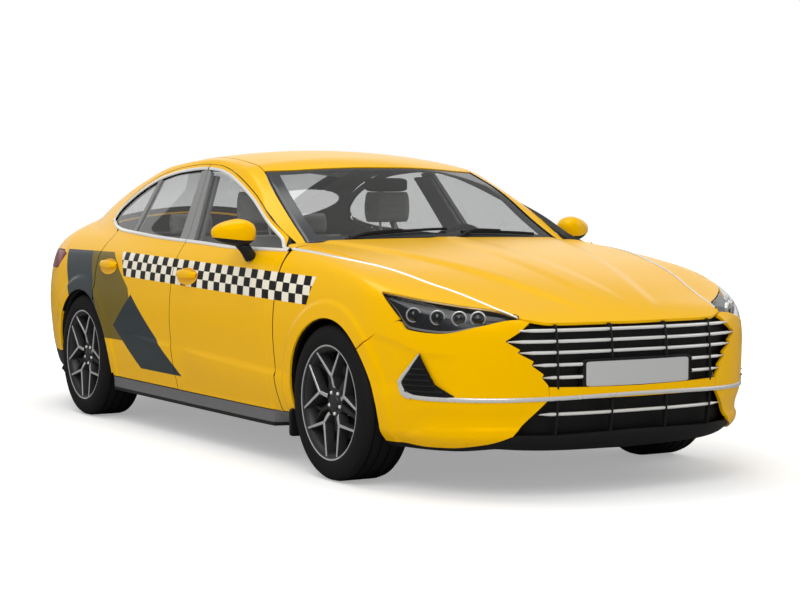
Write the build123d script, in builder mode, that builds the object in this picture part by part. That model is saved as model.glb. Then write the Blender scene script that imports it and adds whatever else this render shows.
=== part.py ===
from build123d import *
import os

os.makedirs("parts", exist_ok=True)

# Sizes in mm: +X forward, +Y left, +Z up, origin on the ground under the middle of the car
FRONT_AXLE_X = 1480
REAR_AXLE_X = -1360
HALF_TRACK = 802
TYRE_RADIUS = 334
TYRE_WIDTH = 235
BEAD_RADIUS = 229
FLANGE_RADIUS = 246
RIM_WIDTH = 212
SPINDLE_RADIUS = 20
KINGPIN_Y = 735
KINGPIN_RADIUS = 10
COLUMN_RADIUS = 20
RUNNING = 0.05
CLEAR = 6

# Wall depths behind the painted surface
WALL = 95
PILLAR = 45
ROOF = 30
SKIN = 22
DOOR_SKIN = 30
FRAME_SKIN = 26
GLASS_DEPTH = 4
GLASS = 5
DOOR_STEP = 30

# Openings in the body
ARCH_RADIUS = 360
DOOR_ARCH_RADIUS = 385
FRONT_LINER_RADIUS = 400
REAR_LINER_RADIUS = 378
LINER = 8
LID_FRONT_X = -1890
LID_FRONT_GAP = 16
LID_HALF_WIDTH = 530
LID_BOTTOM_Z = 560
HINGE_PIN = 5
LID_HINGE = (-1900, 1110)
HOOD_HINGE = (925, 1008)
HOOD_LUG_Y = 300
HOOD_LUG = 30
HOOD_SWING_X = HOOD_HINGE[0] - 14
HOOD_SWING_Z = HOOD_HINGE[1] + 1
A_LINE_X = 985

# Outlines of the whole body in its three views
BOTTOM_Z = 170
SIDE_BOW = 22
END_BOW = 80
HALF_LENGTH = 2450
REACH = HALF_LENGTH + 150
NOSE_BACK = HALF_LENGTH - 550
HALF_WIDTH = 930
FRONT_CORNER = 690
REAR_CORNER = 760
# Side view from the nose over the roof to the tail (x, z)
NOSE = ((2330, 170), (2432, 265), (2450, 430), (2436, 620), (2406, 708))
HOOD_LINE = ((2406, 708), (2080, 842), (1700, 920), (965, 1012))
WINDSCREEN_LINE = ((965, 1012), (905, 1022), (335, 1372))
ROOF_ARC = ((335, 1372), (-330, 1445), (-1065, 1372))
TAIL = ((-1065, 1372), (-1500, 1266), (-1880, 1128), (-2425, 1005), (-2448, 905), (-2450, 430), (-2405, 262),
        (-2330, 170))
# Front view, half width and height
SILL = ((800, 170), (872, 245))
SIDE_ARC = ((872, 245), (930, 610), (893, 880))
SHOULDER = ((893, 880), (838, 965))
ROOF_RAIL = (632, 1377)
CROWN_Z = 1446
# Crown of the hood: half width and fall of its edge below the middle
HOOD_EDGE_Y = 800
HOOD_FALL = 42
# Facet from the rear door to the tail corner, three points on the right
QUARTER = ((-1100, -712, 1217), (-2100, -650, 985), (-2100, -800, 868))

# Outlines in plan, right half from front to rear or from the middle outward (x, y)
HOOD_PLAN = ((2418, 0), (2412, -150), (2388, -400), (2329, -535), (2000, -630), (1700, -700), (1420, -745),
             (925, -745), (955, -400), (965, 0))
COWL_PLAN = ((959, 0), (949, -400), (919, -745), (870, -695), (895, -350), (905, 0))
WINDSCREEN_PLAN = ((905, 0), (895, -350), (870, -695), (195, -540), (300, -300), (335, 0))
ROOF_PLAN = ((335, 0), (300, -300), (195, -540), (-323, -562), (-1040, -535), (-1065, 0))
REAR_WINDOW_PLAN = ((-1065, 0), (-1040, -535), (-1850, -575), (-1850, 0))

# Outlines in side view (x, z)
FRONT_DOOR = ((985, 245), (985, 962), (945, 985), (543, 1150), (335, 1229), (134, 1302), (-22, 1343), (-160, 1364),
              (-265, 1370), (-143, 960), (-143, 245))
REAR_DOOR = ((-143, 245), (-143, 960), (-272, 1371), (-430, 1370), (-559, 1360), (-787, 1333), (-946, 1297),
             (-1096, 1249), (-1215, 1192), (-1300, 1112), (-1300, 1065), (-1120, 1008), (-1165, 905), (-1165, 640),
             (-980, 400), (-985, 245))
FRONT_WINDOW = ((900, 982), (473, 980), (10, 994), (-86, 997), (-229, 1318), (-160, 1325), (-22, 1304),
                (134, 1263), (335, 1195), (543, 1116), (755, 1033))
REAR_WINDOW = ((-222, 1000), (-432, 1006), (-858, 1028), (-836, 1283), (-787, 1295), (-559, 1322), (-345, 1331))
QUARTER_WINDOW = ((-882, 1029), (-1041, 1037), (-1179, 1057), (-1272, 1086), (-1266, 1112), (-1215, 1152),
                  (-1096, 1210), (-946, 1258), (-860, 1278))
HEADLAMP = ((1825, 822), (2030, 808), (2232, 761), (2340, 728), (2260, 700), (2151, 668), (2018, 680))
FRONT_BUMPER = ((1760, 150), (REACH, 150), (REACH, 800), (2340, 728), (2260, 700), (2151, 668), (2018, 680),
                (1955, 702), (1760, 575))
FENDER = ((989, 262), (1480, 262), (1760, 262), (1760, 575), (1955, 702), (2018, 680), (2340, 728), (2340, 1000),
          (989, 1000))
TAIL_LAMP = ((-2060, 842), (-2170, 908), (-REACH, 908), (-REACH, 775), (-2200, 790))
REAR_BUMPER = ((-1690, 150), (-REACH, 150), (-REACH, 700), (-2080, 700), (-1780, 640), (-1690, 560))

# Outlines in front view (y, z)
GRILLE = ((-579, 640), (-515, 693), (-400, 706), (400, 706), (515, 693), (579, 640), (450, 530), (425, 447),
          (-425, 447), (-450, 530))
INTAKE = ((-430, 402), (430, 402), (530, 292), (-530, 292))
SLAT_HEIGHTS = (482, 518, 554, 590, 626, 662)
INTAKE_SLAT_Z = 345
RIB_YS = (-390, -200, 200, 390)
SLAT = 12
RIB = 10


# Plan outline of the body, drawn in by an inset
def plan_form(inset):
    end_x = HALF_LENGTH - inset
    corner_x = end_x - END_BOW
    side_y = HALF_WIDTH - inset
    corner_y = side_y - SIDE_BOW
    with BuildPart() as form:
        with BuildSketch(Plane.XY.offset(60)) as outline:
            with BuildLine():
                ThreePointArc((corner_x, -corner_y), (end_x, 0), (corner_x, corner_y))
                ThreePointArc((corner_x, corner_y), (0, side_y), (-corner_x, corner_y))
                ThreePointArc((-corner_x, corner_y), (-end_x, 0), (-corner_x, -corner_y))
                ThreePointArc((-corner_x, -corner_y), (0, -side_y), (corner_x, -corner_y))
            make_face()
            fillet(outline.vertices().filter_by(lambda v: v.X > 0), FRONT_CORNER - inset)
            fillet(outline.vertices().filter_by(lambda v: v.X < 1 - corner_x), REAR_CORNER - inset)
        extrude(amount=1500)
    return form.part


# Side view of the body, drawn in by an inset and open below when it is drawn in
def side_form(inset):
    low = BOTTOM_Z - 110 if inset else BOTTOM_Z
    with BuildPart() as form:
        with BuildSketch(Plane.XZ.offset(-1000)):
            with BuildLine():
                Polyline((NOSE[0][0], low), *NOSE[1:])
                Polyline(*HOOD_LINE)
                Polyline(*WINDSCREEN_LINE)
                ThreePointArc(*ROOF_ARC)
                Polyline(*TAIL[:-1], (TAIL[-1][0], low), (NOSE[0][0], low))
            make_face()
            if inset:
                offset(amount=-inset, kind=Kind.INTERSECTION)
        extrude(amount=2000)
    return form.part


# Front view of the body, drawn in at the lower sides, the cabin sides and the top
def section_form(inset, side, top):
    low = BOTTOM_Z - 110 if inset else BOTTOM_Z
    sill = [(y - inset, z) for y, z in SILL]
    arc = [(y - inset, z) for y, z in SIDE_ARC]
    shoulder = ((SHOULDER[0][0] - inset, SHOULDER[0][1]), (SHOULDER[1][0] - side, SHOULDER[1][1]))
    rail = (ROOF_RAIL[0] - side, ROOF_RAIL[1] - top)
    with BuildPart() as form:
        with BuildSketch(Plane.YZ.offset(-REACH)):
            with BuildLine():
                Polyline((0, low), (sill[0][0], low), sill[1])
                ThreePointArc(*arc)
                Polyline(*shoulder, rail)
                ThreePointArc(rail, (0, CROWN_Z - top), (-rail[0], rail[1]))
                Polyline((-rail[0], rail[1]), *[(-y, z) for y, z in reversed(shoulder)])
                ThreePointArc(*[(-y, z) for y, z in reversed(arc)])
                Polyline((-sill[1][0], sill[1][1]), (-sill[0][0], low), (0, low))
            make_face()
        extrude(amount=5200)
    return form.part


# Space above one straight run of the crowned hood
def hood_space(front, rear, drop):
    slope = (Vector(front[0], 0, front[1]) - Vector(rear[0], 0, rear[1]))
    with BuildPart() as form:
        with BuildSketch(Plane(origin=(rear[0], 0, rear[1] - drop), x_dir=(0, 1, 0), z_dir=slope)):
            with BuildLine():
                ThreePointArc((-HOOD_EDGE_Y, -HOOD_FALL), (0, 0), (HOOD_EDGE_Y, -HOOD_FALL))
                Polyline((HOOD_EDGE_Y, -HOOD_FALL), (1100, -HOOD_FALL - 30), (1100, 500), (-1100, 500),
                         (-1100, -HOOD_FALL - 30), (-HOOD_EDGE_Y, -HOOD_FALL))
            make_face()
        extrude(amount=slope.length + 150)
    return form.part


# Wedge outside the facet of the rear quarter, drawn in by a depth
def quarter_space(depth):
    rear_top, low, front_top = [Vector(*point) for point in (QUARTER[1], QUARTER[2], QUARTER[0])]
    normal = (rear_top - front_top).cross(low - front_top).normalized()
    if normal.Y > 0:
        normal = -normal
    with BuildPart() as form:
        with BuildSketch(Plane(origin=front_top - normal * depth, x_dir=(1, 0, 0), z_dir=normal)):
            Rectangle(5000, 3000)
        extrude(amount=1500)
        add(block(-REACH, -1000, -1500, 0, 880, 1700), mode=Mode.INTERSECT)
        mirror(about=Plane.XZ)
    return form.part


# Nose of the body without its crown, drawn in by an inset
def nose_form(inset):
    with BuildPart() as form:
        add(plan_form(inset))
        add(side_form(inset), mode=Mode.INTERSECT)
        add(block(NOSE_BACK - 100, REACH, -1000, 1000, 180, 800), mode=Mode.INTERSECT)
    return form.part


# Whole body form, drawn in at the lower sides, the cabin sides and the top
def body_form(inset, side, top):
    with BuildPart() as form:
        add(section_form(inset, side, top))
        add(side_form(top), mode=Mode.INTERSECT)
        add(plan_form(min(inset, 60)), mode=Mode.INTERSECT)
        for front, rear in zip(HOOD_LINE, HOOD_LINE[1:]):
            add(hood_space(front, rear, top), mode=Mode.SUBTRACT)
        add(quarter_space(side), mode=Mode.SUBTRACT)
    return form.part


# Block given by its limits
def block(x0, x1, y0, y1, z0, z1):
    with BuildPart() as piece:
        with Locations(((x0 + x1) / 2, (y0 + y1) / 2, (z0 + z1) / 2)):
            Box(abs(x1 - x0), abs(y1 - y0), abs(z1 - z0))
    return piece.part


# Prism over a side-view outline, on the right side of the car
def side_prism(outline, grow=0, inner=580, outer=1150):
    with BuildPart() as prism:
        with BuildSketch(Plane.XZ.offset(inner)):
            with BuildLine():
                Polyline(*outline, close=True)
            make_face()
            if grow:
                offset(amount=grow, kind=Kind.INTERSECTION)
        extrude(amount=outer - inner)
    return prism.part


# Upright prism over a plan outline given as its right half
def plan_prism(outline, grow=0, low=600, high=1600):
    mirrored = [(x, -y) for x, y in reversed(outline) if y]
    with BuildPart() as prism:
        with BuildSketch(Plane.XY.offset(low)):
            with BuildLine():
                Polyline(*outline, *mirrored, close=True)
            make_face()
            if grow:
                offset(amount=grow, kind=Kind.INTERSECTION)
        extrude(amount=high - low)
    return prism.part


# Prism over a front-view outline, ahead of the front axle
def front_prism(outline):
    with BuildPart() as prism:
        with BuildSketch(Plane.YZ.offset(NOSE_BACK)):
            with BuildLine():
                Polyline(*outline, close=True)
            make_face()
        extrude(amount=REACH - NOSE_BACK)
    return prism.part


# Cylinder across the car about an axle
def arch(axle_x, radius, y0, y1):
    with BuildPart() as piece:
        with BuildSketch(Plane.XZ.offset(-y0)):
            with Locations((axle_x, TYRE_RADIUS)):
                Circle(radius)
        extrude(amount=y0 - y1)
    return piece.part


# Hinge pin across the car between two distances from the middle
def hinge_pin(point, radius, y0, y1):
    with BuildPart() as piece:
        with BuildSketch(Plane.XZ.offset(-y0)):
            with Locations(point):
                Circle(radius)
        extrude(amount=y0 - y1)
    return piece.part


# Largest solid of a piece
def main_solid(piece):
    with BuildPart() as kept:
        add(piece.part.solids().sort_by(SortBy.VOLUME)[-1])
    return kept


# Mirror image of a right-hand piece
def left_of(piece):
    with BuildPart() as other:
        add(mirror(piece.part, about=Plane.XZ))
    return other


# Body forms at each depth
outer_form = body_form(0, 0, 0)
skin_back = body_form(SKIN, SKIN, SKIN)
door_back = body_form(DOOR_SKIN, FRAME_SKIN, FRAME_SKIN)
post_face = body_form(DOOR_SKIN + CLEAR, FRAME_SKIN + CLEAR, ROOF)
cabin_space = body_form(WALL, PILLAR, ROOF)
with BuildPart() as glass_shell:
    add(body_form(GLASS_DEPTH, GLASS_DEPTH, GLASS_DEPTH))
    add(body_form(GLASS_DEPTH + GLASS, GLASS_DEPTH + GLASS, GLASS_DEPTH + GLASS), mode=Mode.SUBTRACT)
with BuildPart() as wall:
    add(outer_form)
    add(cabin_space, mode=Mode.SUBTRACT)
with BuildPart() as skin:
    add(outer_form)
    add(skin_back, mode=Mode.SUBTRACT)
with BuildPart() as door_skin:
    add(outer_form)
    add(door_back, mode=Mode.SUBTRACT)

# Cutting prisms shared by neighbours
hood_cut = plan_prism(HOOD_PLAN, CLEAR, low=640)
windscreen_prism = plan_prism(WINDSCREEN_PLAN)
roof_prism = plan_prism(ROOF_PLAN)
rear_window_prism = plan_prism(REAR_WINDOW_PLAN)
with BuildPart() as glazing_cut:
    add(plan_prism(WINDSCREEN_PLAN, CLEAR))
    add(plan_prism(COWL_PLAN, CLEAR))
    add(hood_cut)
front_glazing_cut = glazing_cut.part
lid_cut = block(-REACH, LID_FRONT_X + LID_FRONT_GAP, -LID_HALF_WIDTH - CLEAR, LID_HALF_WIDTH + CLEAR, LID_BOTTOM_Z - CLEAR, 1300)
front_bumper_prism = side_prism(FRONT_BUMPER, inner=-1100)
rear_bumper_prism = side_prism(REAR_BUMPER, inner=-1100)
headlamp_prism = side_prism(HEADLAMP, inner=480)
tail_lamp_prism = side_prism(TAIL_LAMP, inner=480)


# Room inside the front door's upper corner, which swings past the foot of the pillar: x, y and z from and to
SAIL_ROOM = ((850, A_LINE_X, -803, -700, 945, 985), (850, A_LINE_X, -790, -700, 985, 1015))


# Door with a stepped edge: painted skin over the outline, inner box set back from it
def door(outline, windows):
    with BuildPart() as panel:
        add(wall.part)
        add(side_prism(outline, -CLEAR / 2 - DOOR_STEP), mode=Mode.INTERSECT)
        with BuildPart(mode=Mode.ADD):
            add(door_skin.part)
            add(side_prism(outline, -CLEAR / 2), mode=Mode.INTERSECT)
        for window in windows:
            add(side_prism(window), mode=Mode.SUBTRACT)
        add(arch(REAR_AXLE_X, DOOR_ARCH_RADIUS, -400, -1100), mode=Mode.SUBTRACT)
        add(front_glazing_cut, mode=Mode.SUBTRACT)
        for room in SAIL_ROOM:
            add(block(*room), mode=Mode.SUBTRACT)
    return panel


# Opening for a door, stepped like the door
def door_opening(outline):
    with BuildPart() as opening:
        add(outer_form)
        add(post_face, mode=Mode.SUBTRACT)
        add(side_prism(outline, CLEAR / 2), mode=Mode.INTERSECT)
        add(side_prism(outline, CLEAR / 2 - DOOR_STEP))
    return opening.part


# Panes of a door, cut by the window outlines
def panes(windows):
    with BuildPart() as pane:
        for window in windows:
            with BuildPart(mode=Mode.ADD):
                add(glass_shell.part)
                add(side_prism(window), mode=Mode.INTERSECT)
    return pane


# Right front door with its pane
door_front_right = door(FRONT_DOOR, (FRONT_WINDOW,))
door_front_right.part.label = "door_front_right"
export_step(door_front_right.part, "parts/door_front_right.step")
glass_front_right = panes((FRONT_WINDOW,))
glass_front_right.part.label = "glass_front_right"
export_step(glass_front_right.part, "parts/glass_front_right.step")

# Left front door with its pane
door_front_left = left_of(door_front_right)
door_front_left.part.label = "door_front_left"
export_step(door_front_left.part, "parts/door_front_left.step")
glass_front_left = left_of(glass_front_right)
glass_front_left.part.label = "glass_front_left"
export_step(glass_front_left.part, "parts/glass_front_left.step")

# Right rear door with its pane and the quarter pane
door_rear_right = door(REAR_DOOR, (REAR_WINDOW, QUARTER_WINDOW))
door_rear_right.part.label = "door_rear_right"
export_step(door_rear_right.part, "parts/door_rear_right.step")
glass_rear_right = panes((REAR_WINDOW, QUARTER_WINDOW))
glass_rear_right.part.label = "glass_rear_right"
export_step(glass_rear_right.part, "parts/glass_rear_right.step")

# Left rear door with its panes
door_rear_left = left_of(door_rear_right)
door_rear_left.part.label = "door_rear_left"
export_step(door_rear_left.part, "parts/door_rear_left.step")
glass_rear_left = left_of(glass_rear_right)
glass_rear_left.part.label = "glass_rear_left"
export_step(glass_rear_left.part, "parts/glass_rear_left.step")

# Door mirror: shell on an arm that stands on the door
with BuildPart() as mirror_right:
    with Locations((722, -1000, 1036)):
        Box(150, 190, 132)
    fillet(mirror_right.edges(), 52)
    add(block(640, 720, -925, -866, 915, 940))
    add(block(655, 720, -960, -895, 925, 990))
    add(door_front_right.part, mode=Mode.SUBTRACT)
mirror_right.part.label = "mirror_right"
export_step(mirror_right.part, "parts/mirror_right.step")
mirror_left = left_of(mirror_right)
mirror_left.part.label = "mirror_left"
export_step(mirror_left.part, "parts/mirror_left.step")

# Body side with sill, pillars, roof rail and rear quarter
with BuildPart() as side_wall:
    add(wall.part)
    add(block(-REACH, A_LINE_X - CLEAR / 2, 0, -1100, 100, 1600), mode=Mode.INTERSECT)
    add(door_opening(FRONT_DOOR), mode=Mode.SUBTRACT)
    add(door_opening(REAR_DOOR), mode=Mode.SUBTRACT)
    add(arch(REAR_AXLE_X, ARCH_RADIUS, -400, -1100), mode=Mode.SUBTRACT)
    add(rear_bumper_prism, mode=Mode.SUBTRACT)
    add(tail_lamp_prism, mode=Mode.SUBTRACT)
    add(windscreen_prism, mode=Mode.SUBTRACT)
    add(roof_prism, mode=Mode.SUBTRACT)
    add(rear_window_prism, mode=Mode.SUBTRACT)
    add(plan_prism(COWL_PLAN), mode=Mode.SUBTRACT)
    add(hood_cut, mode=Mode.SUBTRACT)
    add(lid_cut, mode=Mode.SUBTRACT)
    add(block(930, A_LINE_X, -900, -700, 930, 990), mode=Mode.SUBTRACT)
    add(block(HOOD_SWING_X, A_LINE_X, -760, -735, HOOD_SWING_Z, 1100), mode=Mode.SUBTRACT)
    add(hinge_pin(LID_HINGE, HINGE_PIN, 20 - LID_HALF_WIDTH, -LID_HALF_WIDTH - CLEAR - 10))
body_side_right = main_solid(side_wall)
body_side_right.part.label = "body_side_right"
export_step(body_side_right.part, "parts/body_side_right.step")
body_side_left = left_of(body_side_right)
body_side_left.part.label = "body_side_left"
export_step(body_side_left.part, "parts/body_side_left.step")

# Roof panel
with BuildPart() as roof_panel:
    add(wall.part)
    add(roof_prism, mode=Mode.INTERSECT)
roof_panel.part.label = "roof_panel"
export_step(roof_panel.part, "parts/roof_panel.step")

# Windscreen
with BuildPart() as windscreen:
    add(glass_shell.part)
    add(windscreen_prism, mode=Mode.INTERSECT)
windscreen.part.label = "windscreen"
export_step(windscreen.part, "parts/windscreen.step")

# Rear window
with BuildPart() as rear_window:
    add(glass_shell.part)
    add(rear_window_prism, mode=Mode.INTERSECT)
rear_window.part.label = "rear_window"
export_step(rear_window.part, "parts/rear_window.step")

# Cowl between the windscreen and the hood
with BuildPart() as cowl_panel:
    add(wall.part)
    add(plan_prism(COWL_PLAN, low=880), mode=Mode.INTERSECT)
    for lug_y in (-HOOD_LUG_Y, HOOD_LUG_Y):
        notch = HOOD_LUG / 2 + CLEAR
        add(block(HOOD_HINGE[0] - 17, 990, lug_y - notch, lug_y + notch, 900, 1100), mode=Mode.SUBTRACT)
        add(hinge_pin(HOOD_HINGE, HINGE_PIN, lug_y + notch + 6, lug_y - notch - 6))
    add(block(HOOD_SWING_X, A_LINE_X, -760, -600, HOOD_SWING_Z, 1100), mode=Mode.SUBTRACT)
    add(block(HOOD_SWING_X, A_LINE_X, 600, 760, HOOD_SWING_Z, 1100), mode=Mode.SUBTRACT)
cowl_panel.part.label = "cowl_panel"
export_step(cowl_panel.part, "parts/cowl_panel.step")

# Hood
with BuildPart() as hood:
    add(door_skin.part)
    add(plan_prism(HOOD_PLAN, low=646), mode=Mode.INTERSECT)
    for lug_y in (-HOOD_LUG_Y, HOOD_LUG_Y):
        add(block(HOOD_HINGE[0] - 10, 975, lug_y - HOOD_LUG / 2, lug_y + HOOD_LUG / 2, 990, 1016))
        add(hinge_pin(HOOD_HINGE, HINGE_PIN + RUNNING, lug_y + HOOD_LUG, lug_y - HOOD_LUG), mode=Mode.SUBTRACT)
hood.part.label = "hood"
export_step(hood.part, "parts/hood.step")

# Boot lid over the deck and the rear face
with BuildPart() as boot_lid:
    add(door_skin.part)
    add(block(-REACH, LID_FRONT_X, -LID_HALF_WIDTH, LID_HALF_WIDTH, LID_BOTTOM_Z, 1300), mode=Mode.INTERSECT)
    add(hinge_pin(LID_HINGE, HINGE_PIN + RUNNING, LID_HALF_WIDTH, LID_HALF_WIDTH - 22), mode=Mode.SUBTRACT)
    add(hinge_pin(LID_HINGE, HINGE_PIN + RUNNING, 22 - LID_HALF_WIDTH, -LID_HALF_WIDTH), mode=Mode.SUBTRACT)
boot_lid.part.label = "boot_lid"
export_step(boot_lid.part, "parts/boot_lid.step")

# Front fender with the wheel arch
with BuildPart() as fender_right:
    add(skin.part)
    add(side_prism(FENDER, inner=300), mode=Mode.INTERSECT)
    add(arch(FRONT_AXLE_X, ARCH_RADIUS, -400, -1100), mode=Mode.SUBTRACT)
    add(headlamp_prism, mode=Mode.SUBTRACT)
    add(hood_cut, mode=Mode.SUBTRACT)
fender_right.part.label = "fender_right"
export_step(fender_right.part, "parts/fender_right.step")
fender_left = left_of(fender_right)
fender_left.part.label = "fender_left"
export_step(fender_left.part, "parts/fender_left.step")

# Front bumper with the openings for grille and intake
with BuildPart() as front_bumper:
    add(skin.part)
    add(front_bumper_prism, mode=Mode.INTERSECT)
    add(arch(FRONT_AXLE_X, ARCH_RADIUS, 1100, -1100), mode=Mode.SUBTRACT)
    add(hood_cut, mode=Mode.SUBTRACT)
    add(front_prism(GRILLE), mode=Mode.SUBTRACT)
    add(front_prism(INTAKE), mode=Mode.SUBTRACT)
front_bumper.part.label = "front_bumper"
export_step(front_bumper.part, "parts/front_bumper.step")

# Grille and intake: slats and ribs that follow the nose, on a dark back panel
with BuildPart() as slat_layer:
    add(nose_form(4))
    add(nose_form(SKIN + 8), mode=Mode.SUBTRACT)
with BuildPart() as back_layer:
    add(nose_form(SKIN))
    add(nose_form(SKIN + 14), mode=Mode.SUBTRACT)
with BuildPart() as slat_bands:
    for slat_z in SLAT_HEIGHTS + (INTAKE_SLAT_Z,):
        add(block(NOSE_BACK, REACH, -700, 700, slat_z - SLAT / 2, slat_z + SLAT / 2))
    for rib_y in RIB_YS:
        add(block(NOSE_BACK, REACH, rib_y - RIB / 2, rib_y + RIB / 2, 280, 720))
with BuildPart() as grille:
    add(slat_layer.part)
    add(slat_bands.part, mode=Mode.INTERSECT)
    add(front_prism(GRILLE) + front_prism(INTAKE), mode=Mode.INTERSECT)
    with BuildPart(mode=Mode.ADD):
        add(back_layer.part)
        add(block(NOSE_BACK, REACH, -600, 600, 280, 712), mode=Mode.INTERSECT)
    add(hood_cut, mode=Mode.SUBTRACT)
    add(headlamp_prism, mode=Mode.SUBTRACT)
    add(mirror(headlamp_prism, about=Plane.XZ), mode=Mode.SUBTRACT)
    add(front_bumper.part, mode=Mode.SUBTRACT)
grille.part.label = "grille"
export_step(grille.part, "parts/grille.step")

# Headlamps, right and left
with BuildPart() as headlamps:
    add(door_skin.part)
    add(headlamp_prism, mode=Mode.INTERSECT)
    add(hood_cut, mode=Mode.SUBTRACT)
    mirror(about=Plane.XZ)
headlamps.part.label = "headlamps"
export_step(headlamps.part, "parts/headlamps.step")

# Tail lamps, right and left
with BuildPart() as tail_lamps:
    add(door_skin.part)
    add(tail_lamp_prism, mode=Mode.INTERSECT)
    add(lid_cut, mode=Mode.SUBTRACT)
    mirror(about=Plane.XZ)
tail_lamps.part.label = "tail_lamps"
export_step(tail_lamps.part, "parts/tail_lamps.step")

# Rear bumper
with BuildPart() as rear_bumper:
    add(skin.part)
    add(rear_bumper_prism, mode=Mode.INTERSECT)
    add(arch(REAR_AXLE_X, ARCH_RADIUS, 1100, -1100), mode=Mode.SUBTRACT)
    add(lid_cut, mode=Mode.SUBTRACT)
rear_bumper.part.label = "rear_bumper"
export_step(rear_bumper.part, "parts/rear_bumper.step")

# Floor, firewall, seat step, boot floor, bulkhead and shelf
FLOOR_LOW = 220
FLOOR_TOP = 250
BOOT_LOW = 400
BOOT_TOP = 430
FIREWALL_X = 957
STEP_X = -1000
PLATE = 20
BULKHEAD_X = -1310
SHELF_TOP = 1000
with BuildPart() as floor_tub:
    add(block(STEP_X, FIREWALL_X, -900, 900, FLOOR_LOW, FLOOR_TOP))
    add(block(FIREWALL_X, A_LINE_X - CLEAR / 2, -900, 900, FLOOR_LOW, 905))
    add(block(STEP_X - PLATE, STEP_X, -620, 620, FLOOR_LOW, BOOT_TOP))
    add(block(-2330, STEP_X, -620, 620, BOOT_LOW, BOOT_TOP))
    add(block(BULKHEAD_X - PLATE, BULKHEAD_X, -620, 620, BOOT_TOP, SHELF_TOP))
    add(block(-1840, BULKHEAD_X, -900, 900, SHELF_TOP - PLATE, SHELF_TOP))
    add(cabin_space, mode=Mode.INTERSECT)
    add(arch(REAR_AXLE_X, DOOR_ARCH_RADIUS + LINER, -900, -620), mode=Mode.SUBTRACT)
floor_tub.part.label = "floor_tub"
export_step(floor_tub.part, "parts/floor_tub.step")


# Wheel-arch liner: half ring between the painted skin and the engine bay or boot
def liner(axle_x, radius, inner_y, space):
    with BuildPart() as ring:
        add(arch(axle_x, radius + LINER, -inner_y, -1000))
        add(arch(axle_x, radius, -inner_y, -1000), mode=Mode.SUBTRACT)
        add(block(axle_x - 600, axle_x + 600, -1000, 0, TYRE_RADIUS + 20, 900), mode=Mode.INTERSECT)
        add(space, mode=Mode.INTERSECT)
    return ring.part


STRUT_Y = 590
STRUT_RADIUS = 40
with BuildPart() as arch_liners:
    add(liner(FRONT_AXLE_X, FRONT_LINER_RADIUS, 500, skin_back))
    with Locations((FRONT_AXLE_X, -STRUT_Y, 700)):
        Cylinder(STRUT_RADIUS, 300, mode=Mode.SUBTRACT)
    add(liner(REAR_AXLE_X, REAR_LINER_RADIUS, 620, cabin_space))
    mirror(about=Plane.XZ)
arch_liners.part.label = "arch_liners"
export_step(arch_liners.part, "parts/arch_liners.step")

# Front frame: rails, cross-member, lower arms with ball pins, struts under their towers
RAIL_IN = 400
RAIL_OUT = 460
RAIL_LOW = 262
RAIL_TOP = 340
ARM_TOP = 240
TOWER_Z = 840
KNUCKLE_LOW = ARM_TOP + CLEAR
KNUCKLE_TOP = 470
PIN_TOP = 330
with BuildPart() as front_frame:
    add(block(A_LINE_X - CLEAR / 2, HALF_LENGTH - 190, -RAIL_OUT, -RAIL_IN, RAIL_LOW, RAIL_TOP))
    add(block(FRONT_AXLE_X - 100, FRONT_AXLE_X + 100, -RAIL_OUT, 0, 205, RAIL_LOW))
    add(block(FRONT_AXLE_X - 25, FRONT_AXLE_X + 25, -KINGPIN_Y - 20, -RAIL_IN, 212, ARM_TOP))
    add(block(FRONT_AXLE_X - 100, FRONT_AXLE_X + 100, -RAIL_OUT + 20, -RAIL_IN, RAIL_TOP, TOWER_Z + PLATE))
    add(block(FRONT_AXLE_X - 100, FRONT_AXLE_X + 100, -650, -RAIL_IN, TOWER_Z, TOWER_Z + PLATE))
    with Locations((FRONT_AXLE_X, -STRUT_Y, (ARM_TOP + TOWER_Z) / 2)):
        Cylinder(STRUT_RADIUS, TOWER_Z - ARM_TOP)
    with Locations((FRONT_AXLE_X, -KINGPIN_Y, (ARM_TOP + PIN_TOP) / 2)):
        Cylinder(KINGPIN_RADIUS, PIN_TOP - ARM_TOP)
    mirror(about=Plane.XZ)
front_frame.part.label = "front_frame"
export_step(front_frame.part, "parts/front_frame.step")

# Knuckle that turns on the ball pin and carries the wheel spindle
HUB_FACE = 772
SPINDLE_END = 868
with BuildPart() as knuckle_right:
    add(block(FRONT_AXLE_X - 40, FRONT_AXLE_X + 40, -HUB_FACE + CLEAR, -700, KNUCKLE_LOW, KNUCKLE_TOP))
    with BuildSketch(Plane.XZ.offset(HUB_FACE - CLEAR)):
        with Locations((FRONT_AXLE_X, TYRE_RADIUS)):
            Circle(SPINDLE_RADIUS)
    extrude(amount=SPINDLE_END - HUB_FACE + CLEAR)
    with Locations((FRONT_AXLE_X, -KINGPIN_Y, (KNUCKLE_LOW + PIN_TOP + CLEAR) / 2)):
        Cylinder(KINGPIN_RADIUS + RUNNING, PIN_TOP + CLEAR - KNUCKLE_LOW, mode=Mode.SUBTRACT)
knuckle_right.part.label = "knuckle_right"
export_step(knuckle_right.part, "parts/knuckle_right.step")
knuckle_left = left_of(knuckle_right)
knuckle_left.part.label = "knuckle_left"
export_step(knuckle_left.part, "parts/knuckle_left.step")

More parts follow.
